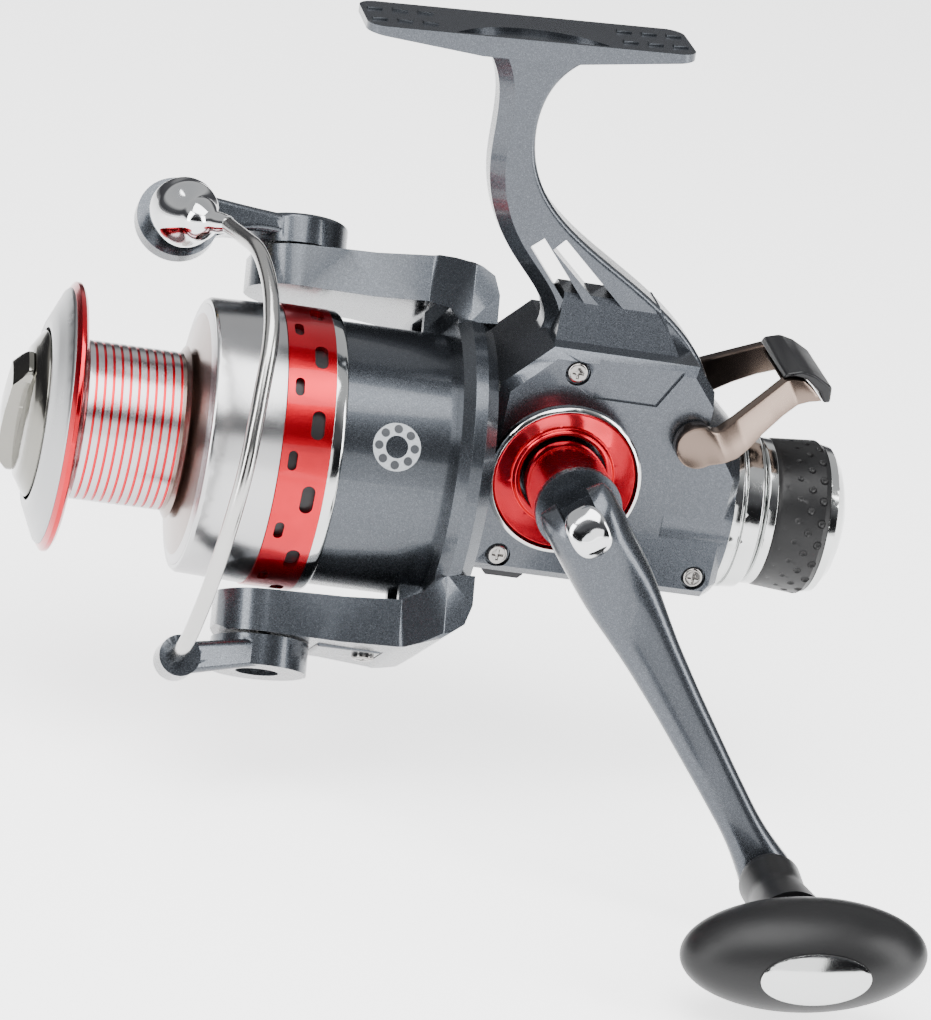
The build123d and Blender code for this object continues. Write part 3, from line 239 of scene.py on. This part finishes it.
dress(satin_aluminium, "spool_front_ring", bevel=trim_bevel)
dress(screw_steel, "cover_screws", "bail_screws", "arm_cover_screws", bevel=trim_bevel)
dress(steel, "fold_pin", "knob_post", "roller_screw", "main_shaft", "guide_rod", "pinion_bearing",
      "one_way_clutch", "drive_bearings", "rear_knob_nut", "rear_drag_spring", "bail_spring",
      "spool_bearing", "drag_clip")


# ---- Red anodised dish, lip and band -------------------------------------------------------------
# Turned aluminium, polished, then anodised in a clear deep red: the metal still shines through
# the colour, and fine turning lines run round each piece. The band is left a little duller.
def anodised(name, roughness):
    material, tree, shader = shader_for(name, roughness, metallic=0.95, coat=0.3, coat_roughness=0.05)
    deep_red, bright_red = (0.36, 0.0012, 0.008, 1.0), (0.50, 0.003, 0.016, 1.0)
    colour_by(tree, shader, noise(tree, scale=90.0), [(0.3, deep_red), (0.75, bright_red)])
    turning_lines(tree, shader, 7000.0, 40.0, 0.05)
    return material


dress(anodised("red_anodised", 0.16), "spool_lip", "bearing_cap", bevel=0.00012)
dress(anodised("red_band", 0.24), "skirt_band")


# ---- Rotor, arm covers and bail ears -------------------------------------------------------------
# Die castings in the case's graphite, a shade darker.
rotor_paint = flake_paint("rotor_flake", (0.046, 0.052, 0.061, 1.0), (0.085, 0.093, 0.105, 1.0), 0.24)
dress(rotor_paint, "rotor", "arm_covers", "bail_arm", "bail_holder", bevel=0.0004)


def smooth(thing, angle):
    """Smooth shading that keeps edges sharper than the angle."""
    with bpy.context.temp_override(object=thing, active_object=thing, selected_objects=[thing],
                                   selected_editable_objects=[thing]):
        bpy.ops.object.shade_smooth_by_angle(angle=radians(angle))


def made_piece(name, verts, faces, material, angle=None):
    """New object of one material, smooth between edges sharper than the angle, else flat."""
    mesh = bpy.data.meshes.new(name)
    mesh.from_pydata(verts, [], faces)
    mesh.materials.append(material)
    piece = bpy.data.objects.new(name, mesh)
    bpy.context.scene.collection.objects.link(piece)
    if angle:
        smooth(piece, angle)
    return piece


def skin(sections, corners, ends="capped"):
    """Faces through a row of sections with as many corners each; ends capped, joined or open."""
    faces = [(i * corners + k, i * corners + (k + 1) % corners,
              (i + 1) % sections * corners + (k + 1) % corners, (i + 1) % sections * corners + k)
             for i in range(sections if ends == "joined" else sections - 1) for k in range(corners)]
    if ends == "capped":
        faces.append(tuple(range(corners))[::-1])
        faces.append(tuple((sections - 1) * corners + k for k in range(corners)))
    return faces


# Printed on the drum: a pale ring with eight dark dots. Plain, no words.
def ink(name, colour, roughness):
    material, tree, shader = shader_for(name, roughness)
    speckle = noise(tree, scale=3000.0, detail=2.0)
    colour_by(tree, shader, speckle, [(0.35, darker(colour, 0.8)), (0.65, colour)])
    bump(tree, shader, speckle, strength=0.1, distance=0.00001)
    return material


mark_pale = ink("mark_pale", (0.34, 0.36, 0.38, 1.0), 0.5)
mark_dark = ink("mark_dark", (0.030, 0.033, 0.038, 1.0), 0.45)
spool_axis = pivots["spool_spin"][2]
drum_radius, ink_sink = 0.0261, 0.00005
mark_x, mark_angle = -0.01333, radians(-63.79)
mark_outer, mark_inner, mark_lift = 0.0047, 0.0022, 0.00003
dot_count, dot_circle, dot_lift = 8, 0.0035, 0.00006
dot_outer, dot_inner = 0.00085, 0.000017


def printed_ring(name, along, across, outer, inner, lift, material, sides):
    """Thin raised ring wrapped on the drum, set off from the mark's middle along and across it."""
    verts = []
    for k in range(sides):
        turn = 2 * pi * k / sides
        for ring, height in ((outer, -ink_sink), (inner, -ink_sink), (inner, lift), (outer, lift)):
            x = mark_x + along + ring * cos(turn)
            around = mark_angle + (across + ring * sin(turn)) / drum_radius
            reach = drum_radius + height
            verts.append((x, reach * sin(around), spool_axis + reach * cos(around)))
    piece = made_piece(name, verts, skin(sides, 4, "joined"), material)
    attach(piece, "rotor")


printed_ring("mark_ring", 0.0, 0.0, mark_outer, mark_inner, mark_lift, mark_pale, 72)
for index in range(dot_count):
    spot = 2 * pi * index / dot_count
    printed_ring("mark_dot_%d" % index, dot_circle * cos(spot), dot_circle * sin(spot), dot_outer,
                 dot_inner, dot_lift, mark_dark, 24)


# ---- Spool ---------------------------------------------------------------------------------------
# Turned and polished aluminium; the arbor's grooves are lined in red and a brown band runs
# round its shoulder.
groove_floor = 0.01536
groove_start, groove_end = -0.0725, -0.0528
band_start, band_end = -0.0537, -0.0500
groove_red = (0.52, 0.006, 0.022, 1.0)
shoulder_brown = (0.235, 0.175, 0.155, 1.0)


def worked(tree, operation, first, second):
    """Result of a calculation on a value and a second value or a number."""
    made = tree.nodes.new("ShaderNodeMath")
    made.operation = operation
    tree.links.new(first, made.inputs[0])
    if isinstance(second, float):
        made.inputs[1].default_value = second
    else:
        tree.links.new(second, made.inputs[1])
    return made.outputs[0]


def between(tree, value, start, end):
    """1 where the value lies between the two, else 0."""
    return worked(tree, "MULTIPLY", worked(tree, "GREATER_THAN", value, start),
                  worked(tree, "LESS_THAN", value, end))


def tint(tree, shader, mask, colour):
    """Lays a colour over the shader's own where the mask is 1."""
    over = tree.nodes.new("ShaderNodeMix")
    over.data_type = "RGBA"
    socket = shader.inputs["Base Color"]
    tree.links.new(socket.links[0].from_socket, over.inputs["A"])
    over.inputs["B"].default_value = colour
    tree.links.new(mask, over.inputs["Factor"])
    tree.links.new(over.outputs["Result"], socket)


def arbor_finish():
    """Turned aluminium with its grooves and shoulder coloured by place."""
    material = plated("arbor_aluminium", (0.46, 0.45, 0.46, 1.0), 0.22, lines=0.16)
    tree = material.node_tree
    shader = tree.nodes["Principled BSDF"]
    from_axis = node(tree, "Mapping", Location=(0.0, 0.0, -spool_axis), Scale=(0.0, 1.0, 1.0))
    tree.links.new(object_place(tree), from_axis.inputs["Vector"])
    radius = tree.nodes.new("ShaderNodeVectorMath")
    radius.operation = "LENGTH"
    tree.links.new(from_axis.outputs["Vector"], radius.inputs[0])
    station = node(tree, "SeparateXYZ")
    tree.links.new(object_place(tree), station.inputs["Vector"])
    deep = between(tree, radius.outputs["Value"], 0.0, groove_floor)
    grooved = between(tree, station.outputs["X"], groove_start, groove_end)
    tint(tree, shader, worked(tree, "MULTIPLY", deep, grooved), groove_red)
    tint(tree, shader, between(tree, station.outputs["X"], band_start, band_end), shoulder_brown)
    return material


dress(arbor_finish(), "spool_core")
spool_metal = plated("spool_aluminium", (0.43, 0.43, 0.435, 1.0), 0.2, lines=0.12)
dress(spool_metal, "spool_skirt", bevel=0.00015)


# ---- Bail wire and line cone ---------------------------------------------------------------------
# Stainless wire, drawn, bent and polished by hand.
dress(plated("polished_wire", (0.42, 0.415, 0.405, 1.0), 0.16), "bail_wire")

# Line cone: a chromed teardrop, cast, blunt at the line roller and drawn out to the wire's root.
rotor_lean = radians(32.0)
bail_pivot_x = pivots["bail_flip"][0]


def from_bail(x, y, z):
    """Place in the reel's frame of a point drawn along the bail's pivot, in millimetres."""
    x, y, z = x / 1000, y / 1000, z / 1000
    return Vector((bail_pivot_x + x, y * cos(rotor_lean) + z * sin(rotor_lean),
                   spool_axis - y * sin(rotor_lean) + z * cos(rotor_lean)))


def eased(stops, x):
    """Value at x of smooth steps between (x, value) stops."""
    for (x0, v0), (x1, v1) in zip(stops, stops[1:]):
        if x <= x1:
            share = (x - x0) / (x1 - x0)
            share = share * share * (3 - 2 * share)
            return v0 + (v1 - v0) * share
    return stops[-1][1]


def swept(name, path, widths, material):
    """Round body along a curve of four control points; widths are (share of the curve, radius)."""
    sides, steps = 48, 40
    points = []
    for i in range(steps + 1):
        t = i / steps
        a, b, c, d = path
        points.append(a * (1 - t) ** 3 + b * 3 * t * (1 - t) ** 2 + c * 3 * t * t * (1 - t) + d * t ** 3)
    verts = []
    up = (path[0] - path[3]).cross(path[1] - path[0]).normalized()
    for i, point in enumerate(points):
        radius = eased(widths, i / steps)
        ahead = (points[min(i + 1, steps)] - points[max(i - 1, 0)]).normalized()
        side = ahead.cross(up).normalized()
        upright = side.cross(ahead).normalized()
        for k in range(sides):
            turn = 2 * pi * k / sides
            verts.append(point + side * cos(turn) * radius + upright * sin(turn) * radius)
    return made_piece(name, verts, skin(steps + 1, sides), material, 32.0)


cone_path = (from_bail(-25.75, -14.05, 41.4), from_bail(-26.4, -18.6, 38.2),
             from_bail(-23.8, -22.8, 37.2), from_bail(-19.0, -28.6, 35.4))
cone_radii = ((0.0, 0.0060), (0.10, 0.0067), (0.30, 0.0066), (0.62, 0.0043), (0.86, 0.0021),
              (1.0, 0.00172))
line_cone = swept("line_cone", cone_path, cone_radii, chrome)
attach(line_cone, "bail")
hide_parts("nose_cone")


# ---- Brass, gears and discs inside ---------------------------------------------------------------
# Brass bush, pinion, nut, roller and insert; sintered gears; fibre drag discs.
brass = plated("machined_brass", (0.62, 0.44, 0.18, 1.0), 0.2, lines=0.15)
sintered = plated("sintered_gear", (0.36, 0.35, 0.34, 1.0), 0.38, haze=0.15)
dress(brass, "rear_bush", "pinion_gear", "rotor_nut", "line_roller", "front_knob_insert")
dress(sintered, "drive_gear", "oscillation_gear", "oscillation_slider")


def fibre(name, dark, light):
    material, tree, shader = shader_for(name, 0.85, specular=0.2)
    strands = noise(tree, scale=1500.0, detail=5.0, rough=0.7)
    colour_by(tree, shader, strands, [(0.3, dark), (0.7, light)])
    bump(tree, shader, strands, strength=0.4, distance=0.0001)
    return material


drag_fibre = fibre("drag_fibre", (0.30, 0.25, 0.18, 1.0), (0.50, 0.44, 0.34, 1.0))
dress(drag_fibre, "drag_washers", "rear_drag_washers")


# ---- Plastics and rubber -------------------------------------------------------------------------
# Moulded grips, switch, cap and clicker, each with the fine texture of its mould. A black liner
# backs the slots of the skirt.
def moulded(name, colour, roughness, grain=2400.0, depth=0.16):
    material, tree, shader = shader_for(name, roughness, specular=0.3)
    cloud = noise(tree, scale=60.0, detail=4.0)
    colour_by(tree, shader, cloud, [(0.3, darker(colour, 0.75)), (0.7, colour)])
    roughen_by(tree, shader, cloud, 0.3, 0.7, roughness - 0.06, roughness + 0.06)
    bump(tree, shader, noise(tree, grain, detail=2.0), depth, distance=0.00006)
    return material


rubber = moulded("grip_rubber", (0.004, 0.004, 0.0045, 1.0), 0.42, grain=1800.0, depth=0.2)
black_plastic = moulded("black_plastic", (0.006, 0.006, 0.007, 1.0), 0.36)
grey_plastic = moulded("grey_plastic", (0.018, 0.018, 0.021, 1.0), 0.3)
dress(rubber, "rear_knob_grip", "handle_knob_grip", "handle_knob_neck")
dress(grey_plastic, "reverse_switch", "bore_cap", "click_gear", "click_pawl", bevel=0.0003)
liner_start, liner_end = -0.0360, -0.0260
liner_inner, liner_outer = 0.02640, 0.02668


def tube_piece(name, start, end, inner, outer, material):
    """Closed tube about the spool axis."""
    sides = 160
    corners = ((start, inner), (start, outer), (end, outer), (end, inner))
    verts = [(x, r * sin(2 * pi * i / sides), spool_axis + r * cos(2 * pi * i / sides))
             for i in range(sides) for x, r in corners]
    return made_piece(name, verts, skin(sides, 4, "joined"), material, 32.0)


liner = tube_piece("skirt_liner", liner_start, liner_end, liner_inner, liner_outer, black_plastic)
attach(liner, "spool")


# ---- Free-spool lever ----------------------------------------------------------------------------
# Zinc casting in a satin bronze plating: two arms that bend in towards a bridge behind the case.
bronze = plated("satin_bronze", (0.150, 0.112, 0.092, 1.0), 0.2, haze=0.08)
dress(bronze, "lever_pin", bevel=0.0003)
lever_x, lever_z = pivots["freespool_lever_tilt"][0], pivots["freespool_lever_tilt"][2]
lever_lean = radians(33.0)
boss_radius, boss_end, boss_swell = 4.4, 3.6, 0.6
arm_thickness, lever_reach = 3.2, 26.4
top_edge = ((3.0, 3.22), (3.9, 1.9), (4.8, 1.3), (7.7, 1.45), (15.3, 1.8), (21.4, 2.1), (22.8, 1.6),
            (24.8, 0.2), (25.7, -1.8), (26.3, -3.8), (lever_reach, -4.9))
low_edge = ((0.6, -4.36), (3.0, -5.1), (6.3, -5.85), (9.0, -5.5), (13.0, -4.6), (18.0, -3.95),
            (21.6, -3.9), (24.0, -4.5), (25.8, -5.3), (lever_reach, -5.4))
outer_face = ((-boss_radius, 20.6), (boss_end, 20.6), (5.5, 19.8), (9.0, 18.4), (16.0, 14.8),
              (22.0, 11.6), (lever_reach, 10.8))
bridge_half, bridge_outline = 8.6, ((20.6, 1.4), (22.4, 1.2), (24.8, -0.4), (25.9, -3.4),
                                    (25.6, -4.9), (23.6, -4.0), (21.8, -1.4))
pad_half, pad_outline = 10.9, ((20.9, 2.25), (22.2, 3.1), (25.2, 2.2), (27.2, 0.2), (29.4, -3.6),
                               (27.9, -6.4), (26.6, -5.9), (26.7, -3.6), (25.2, 0.3), (23.0, 1.95))


def from_lever(x, y, z):
    """Place in the reel's frame of a point drawn along the lever from its pivot, in millimetres."""
    x, y, z = x / 1000, y / 1000, z / 1000
    return Vector((lever_x + x * cos(lever_lean) - z * sin(lever_lean), y,
                   lever_z + x * sin(lever_lean) + z * cos(lever_lean)))


def value_at(stops, x):
    """Value at x on straight lines between (x, value) stops."""
    for (x0, v0), (x1, v1) in zip(stops, stops[1:]):
        if x <= x1:
            return v0 + (v1 - v0) * max(0.0, x - x0) / (x1 - x0)
    return stops[-1][1]


def yoke_arm(name, side):
    """One arm of the yoke: round boss, then a blade that bends in towards the bridge."""
    boss_steps, blade_steps, tip = 10, 56, 0.02
    outer_round, inner_round = 0.7, 0.3
    stations = [max(-boss_radius * cos(pi / 2 * i / boss_steps), tip - boss_radius)
                for i in range(boss_steps)]
    stations += [lever_reach * i / blade_steps for i in range(blade_steps + 1)]
    verts = []
    for x in stations:
        ball = max(0.0, boss_radius ** 2 - x ** 2) ** 0.5
        top = ball if x < top_edge[0][0] else value_at(top_edge, x)
        low = -ball if x < low_edge[0][0] else value_at(low_edge, x)
        out = value_at(outer_face, x)
        inner = out - arm_thickness - (boss_swell if x < boss_end else 0.0)
        lift = min(outer_round, (top - low) / 2.2)
        corners = ((out - outer_round, top), (out - 0.2 * outer_round, top - 0.3 * lift),
                   (out, top - lift), (out, low + lift),
                   (out - 0.2 * outer_round, low + 0.3 * lift), (out - outer_round, low),
                   (inner + inner_round, low), (inner, low + 0.4 * lift),
                   (inner, top - 0.4 * lift), (inner + inner_round, top))
        verts += [from_lever(x, side * y, z) for y, z in corners]
    faces = skin(len(stations), len(corners))
    if side < 0:
        faces = [face[::-1] for face in faces]
    return made_piece(name, verts, faces, bronze, 42.0)


def cross_piece(name, outline, half, material, bevel):
    """Bar across the lever with one outline all the way."""
    verts = [from_lever(x, y, z) for y in (-half, half) for x, z in outline]
    piece = made_piece(name, verts, skin(2, len(outline)), material, 42.0)
    edge = piece.modifiers.new("edge", "BEVEL")
    edge.width = bevel
    edge.segments = 3
    edge.limit_method = "ANGLE"
    edge.angle_limit = radians(20.0)
    return piece


lever_pieces = [yoke_arm("lever_arm_near", -1), yoke_arm("lever_arm_far", 1),
                cross_piece("lever_bridge", bridge_outline, bridge_half, bronze, 0.0003)]
for piece in lever_pieces:
    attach(piece, "freespool_lever")
    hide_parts("freespool_lever")

# Black thumb pad, moulded, clipped over the bridge.
thumb_pad = cross_piece("thumb_pad", pad_outline, pad_half, black_plastic, 0.0005)
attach(thumb_pad, "freespool_lever")
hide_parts("lever_thumb_pad")


# ---- Crank handle --------------------------------------------------------------------------------
# Zinc arm die-cast in one piece: a round head that folds on the hub's block, a full shoulder, and a
# slender blade to the knob's post. Polished, then sprayed in the case's graphite.
dress(case_paint, "fold_block", bevel=0.0002)
crank_x, crank_z = pivots["crank_spin"][0], pivots["crank_spin"][2]
crank_lean = radians(-52.5)
fold_x, fold_height, head_radius = 1.0, 46.6, 7.8
arm_end, arm_end_radius = 70.0, 5.2
heights = ((fold_x, fold_height), (5.0, 46.7), (9.0, 47.4), (14.0, 49.0), (20.0, 51.3), (30.0, 55.6),
           (46.0, 62.3), (58.0, 66.2), (66.0, 68.3), (arm_end, 68.6), (76.0, 68.6))
depths = ((fold_x, 2 * head_radius), (4.0, 15.2), (8.0, 13.6), (14.0, 10.8), (20.0, 8.9), (30.0, 7.4),
          (46.0, 6.4), (58.0, 6.2), (66.0, 6.6), (76.0, 6.8))
widths = ((-7.0, 13.0), (-4.0, 14.8), (fold_x, 15.2), (8.0, 15.0), (14.0, 14.4), (20.0, 12.6),
          (26.0, 11.0), (36.0, 9.5), (50.0, 8.3), (60.0, 7.8), (65.0, 8.6), (arm_end, 2 * arm_end_radius))


def from_crank(x, y, z):
    """Place in the reel's frame of a point in millimetres along, across and out from the arm."""
    x, y, z = x / 1000, y / 1000, z / 1000
    return Vector((crank_x + x * cos(crank_lean) - y * sin(crank_lean), -z,
                   crank_z + x * sin(crank_lean) + y * cos(crank_lean)))


def squared(value, power):
    """Sine or cosine drawn out towards its limits, which fills an oval's corners."""
    return abs(value) ** power * (1 if value >= 0 else -1)


def arm_section(x):
    """Centre height, depth and width of the arm at x."""
    depth, width = value_at(depths, x), value_at(widths, x)
    if x < fold_x:
        depth = 2 * max(0.0, head_radius ** 2 - (x - fold_x) ** 2) ** 0.5
    if x > arm_end:
        width = 2 * max(0.0, arm_end_radius ** 2 - (x - arm_end) ** 2) ** 0.5
    return value_at(heights, x), depth, width


def softened_section(x):
    """The arm's section, averaged with its neighbours between the head and the post."""
    if not fold_x < x < arm_end:
        return arm_section(x)
    nearby = [arm_section(min(max(x + shift, fold_x), arm_end)) for shift in (-2.4, -1.2, 0, 1.2, 2.4)]
    return tuple(sum(values) / len(nearby) for values in zip(*nearby))


def cast_arm(name):
    """Arm with rounded, nearly flat-sided sections from the head's back to the post's end."""
    around, fullness, tip = 56, 2 / 2.7, 0.05
    head_steps, blade_steps, end_steps = 12, 60, 10
    head, end = head_radius - tip, arm_end_radius - tip
    stations = [fold_x - head * cos(pi / 2 * i / head_steps) for i in range(head_steps)]
    stations += [fold_x + (arm_end - fold_x) * i / blade_steps for i in range(blade_steps)]
    stations += [arm_end + end * sin(pi / 2 * i / end_steps) for i in range(end_steps + 1)]
    verts = []
    for x in stations:
        height, depth, width = softened_section(x)
        for k in range(around):
            turn = 2 * pi * k / around
            verts.append(from_crank(x, width / 2 * squared(cos(turn), fullness),
                                    height + depth / 2 * squared(sin(turn), fullness)))
    return made_piece(name, verts, skin(len(stations), around), case_paint)


# The slot that the hub's block stands in, cut through the head from its inner side.
slot_half, slot_start, slot_end = 3.3, -12.0, 6.8
slot_low, slot_top = 30.0, 51.7
slot_ring = ((-slot_half, slot_low), (slot_half, slot_low), (slot_half, slot_top), (-slot_half, slot_top))
slot_verts = [from_crank(x, y, z) for x in (slot_start, slot_end) for y, z in slot_ring]
arm_casting = cast_arm("arm_casting")
slot_tool = made_piece("slot_tool", slot_verts, skin(2, 4), case_paint)
cut = arm_casting.modifiers.new("slot", "BOOLEAN")
cut.operation = "DIFFERENCE"
cut.solver = "EXACT"
cut.object = slot_tool
bpy.context.view_layer.update()
arm_casting.data = bpy.data.meshes.new_from_object(
    arm_casting.evaluated_get(bpy.context.evaluated_depsgraph_get()))
arm_casting.modifiers.clear()
bpy.data.objects.remove(slot_tool)
smooth(arm_casting, 40.0)
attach(arm_casting, "handle")
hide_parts("handle_arm")


def domed_button(name, half_length, half_width, rise, lean):
    """Flat oval dome that follows the head's curve, leaning round it from the arm's direction."""
    rings, around, fullness = 14, 40, 0.75
    seat_x, seat_z = fold_x + head_radius * cos(lean), fold_height + head_radius * sin(lean)
    verts = []
    for i in range(rings + 1):
        dip = pi * i / rings
        rim = abs(sin(dip)) ** 0.6
        for k in range(around):
            turn = 2 * pi * k / around
            run = half_length * rim * squared(cos(turn), fullness)
            out = rise * cos(dip) - run * run / (2 * head_radius)
            verts.append(from_crank(seat_x - run * sin(lean) + out * cos(lean),
                                    half_width * rim * squared(sin(turn), fullness),
                                    seat_z + run * cos(lean) + out * sin(lean)))
    button = made_piece(name, verts, skin(rings + 1, around, "open"), chrome, 60.0)
    poles = button.modifiers.new("weld", "WELD")
    poles.merge_threshold = 0.00001
    return button


# Chrome button that caps the fold.
fold_button = domed_button("fold_button", 5.0, 3.9, 1.0, radians(116.0))
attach(fold_button, "handle")


# ---- Floor, light and camera ---------------------------------------------------------------------
# A pale floor that glows a little under the reel, one wide soft light above, a strip on each side,
# a weak fill in front, and the camera a little above the reel, leaning with it.
floor_drop, floor_reach, floor_glow = 0.004, 6.0, 2.0
floor_z = cad_low.z - floor_drop
floor_material, _, floor_shader = shader_for("pale_floor", 0.9, specular=0.1)
floor_shader.inputs["Base Color"].default_value = (0.96, 0.96, 0.96, 1.0)
floor_shader.inputs["Emission Color"].default_value = (1.0, 1.0, 1.0, 1.0)
floor_shader.inputs["Emission Strength"].default_value = floor_glow
floor_corners = [(x * floor_reach, y * floor_reach, floor_z)
                 for x, y in ((-1, -1), (1, -1), (1, 1), (-1, 1))]
made_piece("floor", floor_corners, [(0, 1, 2, 3)], floor_material)

# Room: pale below, dark along the horizon and on the camera's side, bright overhead.
world = bpy.data.worlds.new("studio")
bpy.context.scene.world = world
world.use_nodes = True
sky = world.node_tree
way = node(sky, "SeparateXYZ")
sky.links.new(sky.nodes.new("ShaderNodeTexCoord").outputs["Generated"], way.inputs["Vector"])
room_dark, room_dim = (0.10, 0.10, 0.11, 1), (0.16, 0.16, 0.17, 1)
upward_look = ramp(sky, level(sky, way.outputs["Z"], -1.0, 1.0, 0.0, 1.0),
                   [(0.0, (0.75, 0.75, 0.75, 1)), (0.50, (0.62, 0.62, 0.63, 1)), (0.56, room_dark),
                    (0.66, room_dim), (0.74, (1, 1, 1, 1)), (1.0, (0.85, 0.86, 0.88, 1))])
sideways_look = ramp(sky, level(sky, way.outputs["Y"], -1.0, 1.0, 0.0, 1.0),
                     [(0.0, room_dark), (0.16, room_dim), (0.34, (1, 1, 1, 1))])
background = sky.nodes["Background"]
sky.links.new(multiplied(sky, upward_look, sideways_look), background.inputs["Color"])
background.inputs["Strength"].default_value = 0.85
middle = (cad_low + cad_high) / 2


def soft_light(name, offset, width, length, power):
    """Rectangular lamp set off from the reel's middle and turned to it, itself unseen."""
    lamp = bpy.data.lights.new(name, "AREA")
    lamp.energy = power
    lamp.shape = "RECTANGLE"
    lamp.size = width
    lamp.size_y = length
    holder = bpy.data.objects.new(name, lamp)
    holder.location = middle + Vector(offset)
    holder.rotation_euler = (middle - holder.location).to_track_quat("-Z", "Y").to_euler()
    holder.visible_camera = False
    bpy.context.scene.collection.objects.link(holder)


soft_light("overhead", (-0.15, -0.25, 0.75), 0.7, 0.7, 13.0)
soft_light("left_strip", (-0.75, -0.45, 0.25), 0.25, 0.8, 8.0)
soft_light("right_strip", (0.70, -0.35, 0.30), 0.25, 0.8, 7.0)
soft_light("front_fill", (0.05, -1.1, 0.15), 0.6, 0.6, 3.5)

aim = Vector((0.00794, 0.0, -0.09915))
azimuth, elevation, roll, distance = radians(13.18), radians(20.0), radians(12.16), 0.9
back = Vector((-sin(azimuth) * cos(elevation), -cos(azimuth) * cos(elevation), sin(elevation)))
level_right = Vector((cos(azimuth), -sin(azimuth), 0.0))
level_up = back.cross(level_right)
right = level_right * cos(roll) + level_up * sin(roll)
upward = level_up * cos(roll) - level_right * sin(roll)
lens = bpy.data.cameras.new("camera")
lens.lens = 159.79
lens.sensor_width = 36.0
camera = bpy.data.objects.new("camera", lens)
camera.matrix_world = Matrix.Translation(aim + back * distance) @ Matrix(
    (right, upward, back)).transposed().to_4x4()
bpy.context.scene.collection.objects.link(camera)
bpy.context.scene.camera = camera

bpy.context.view_layer.update()
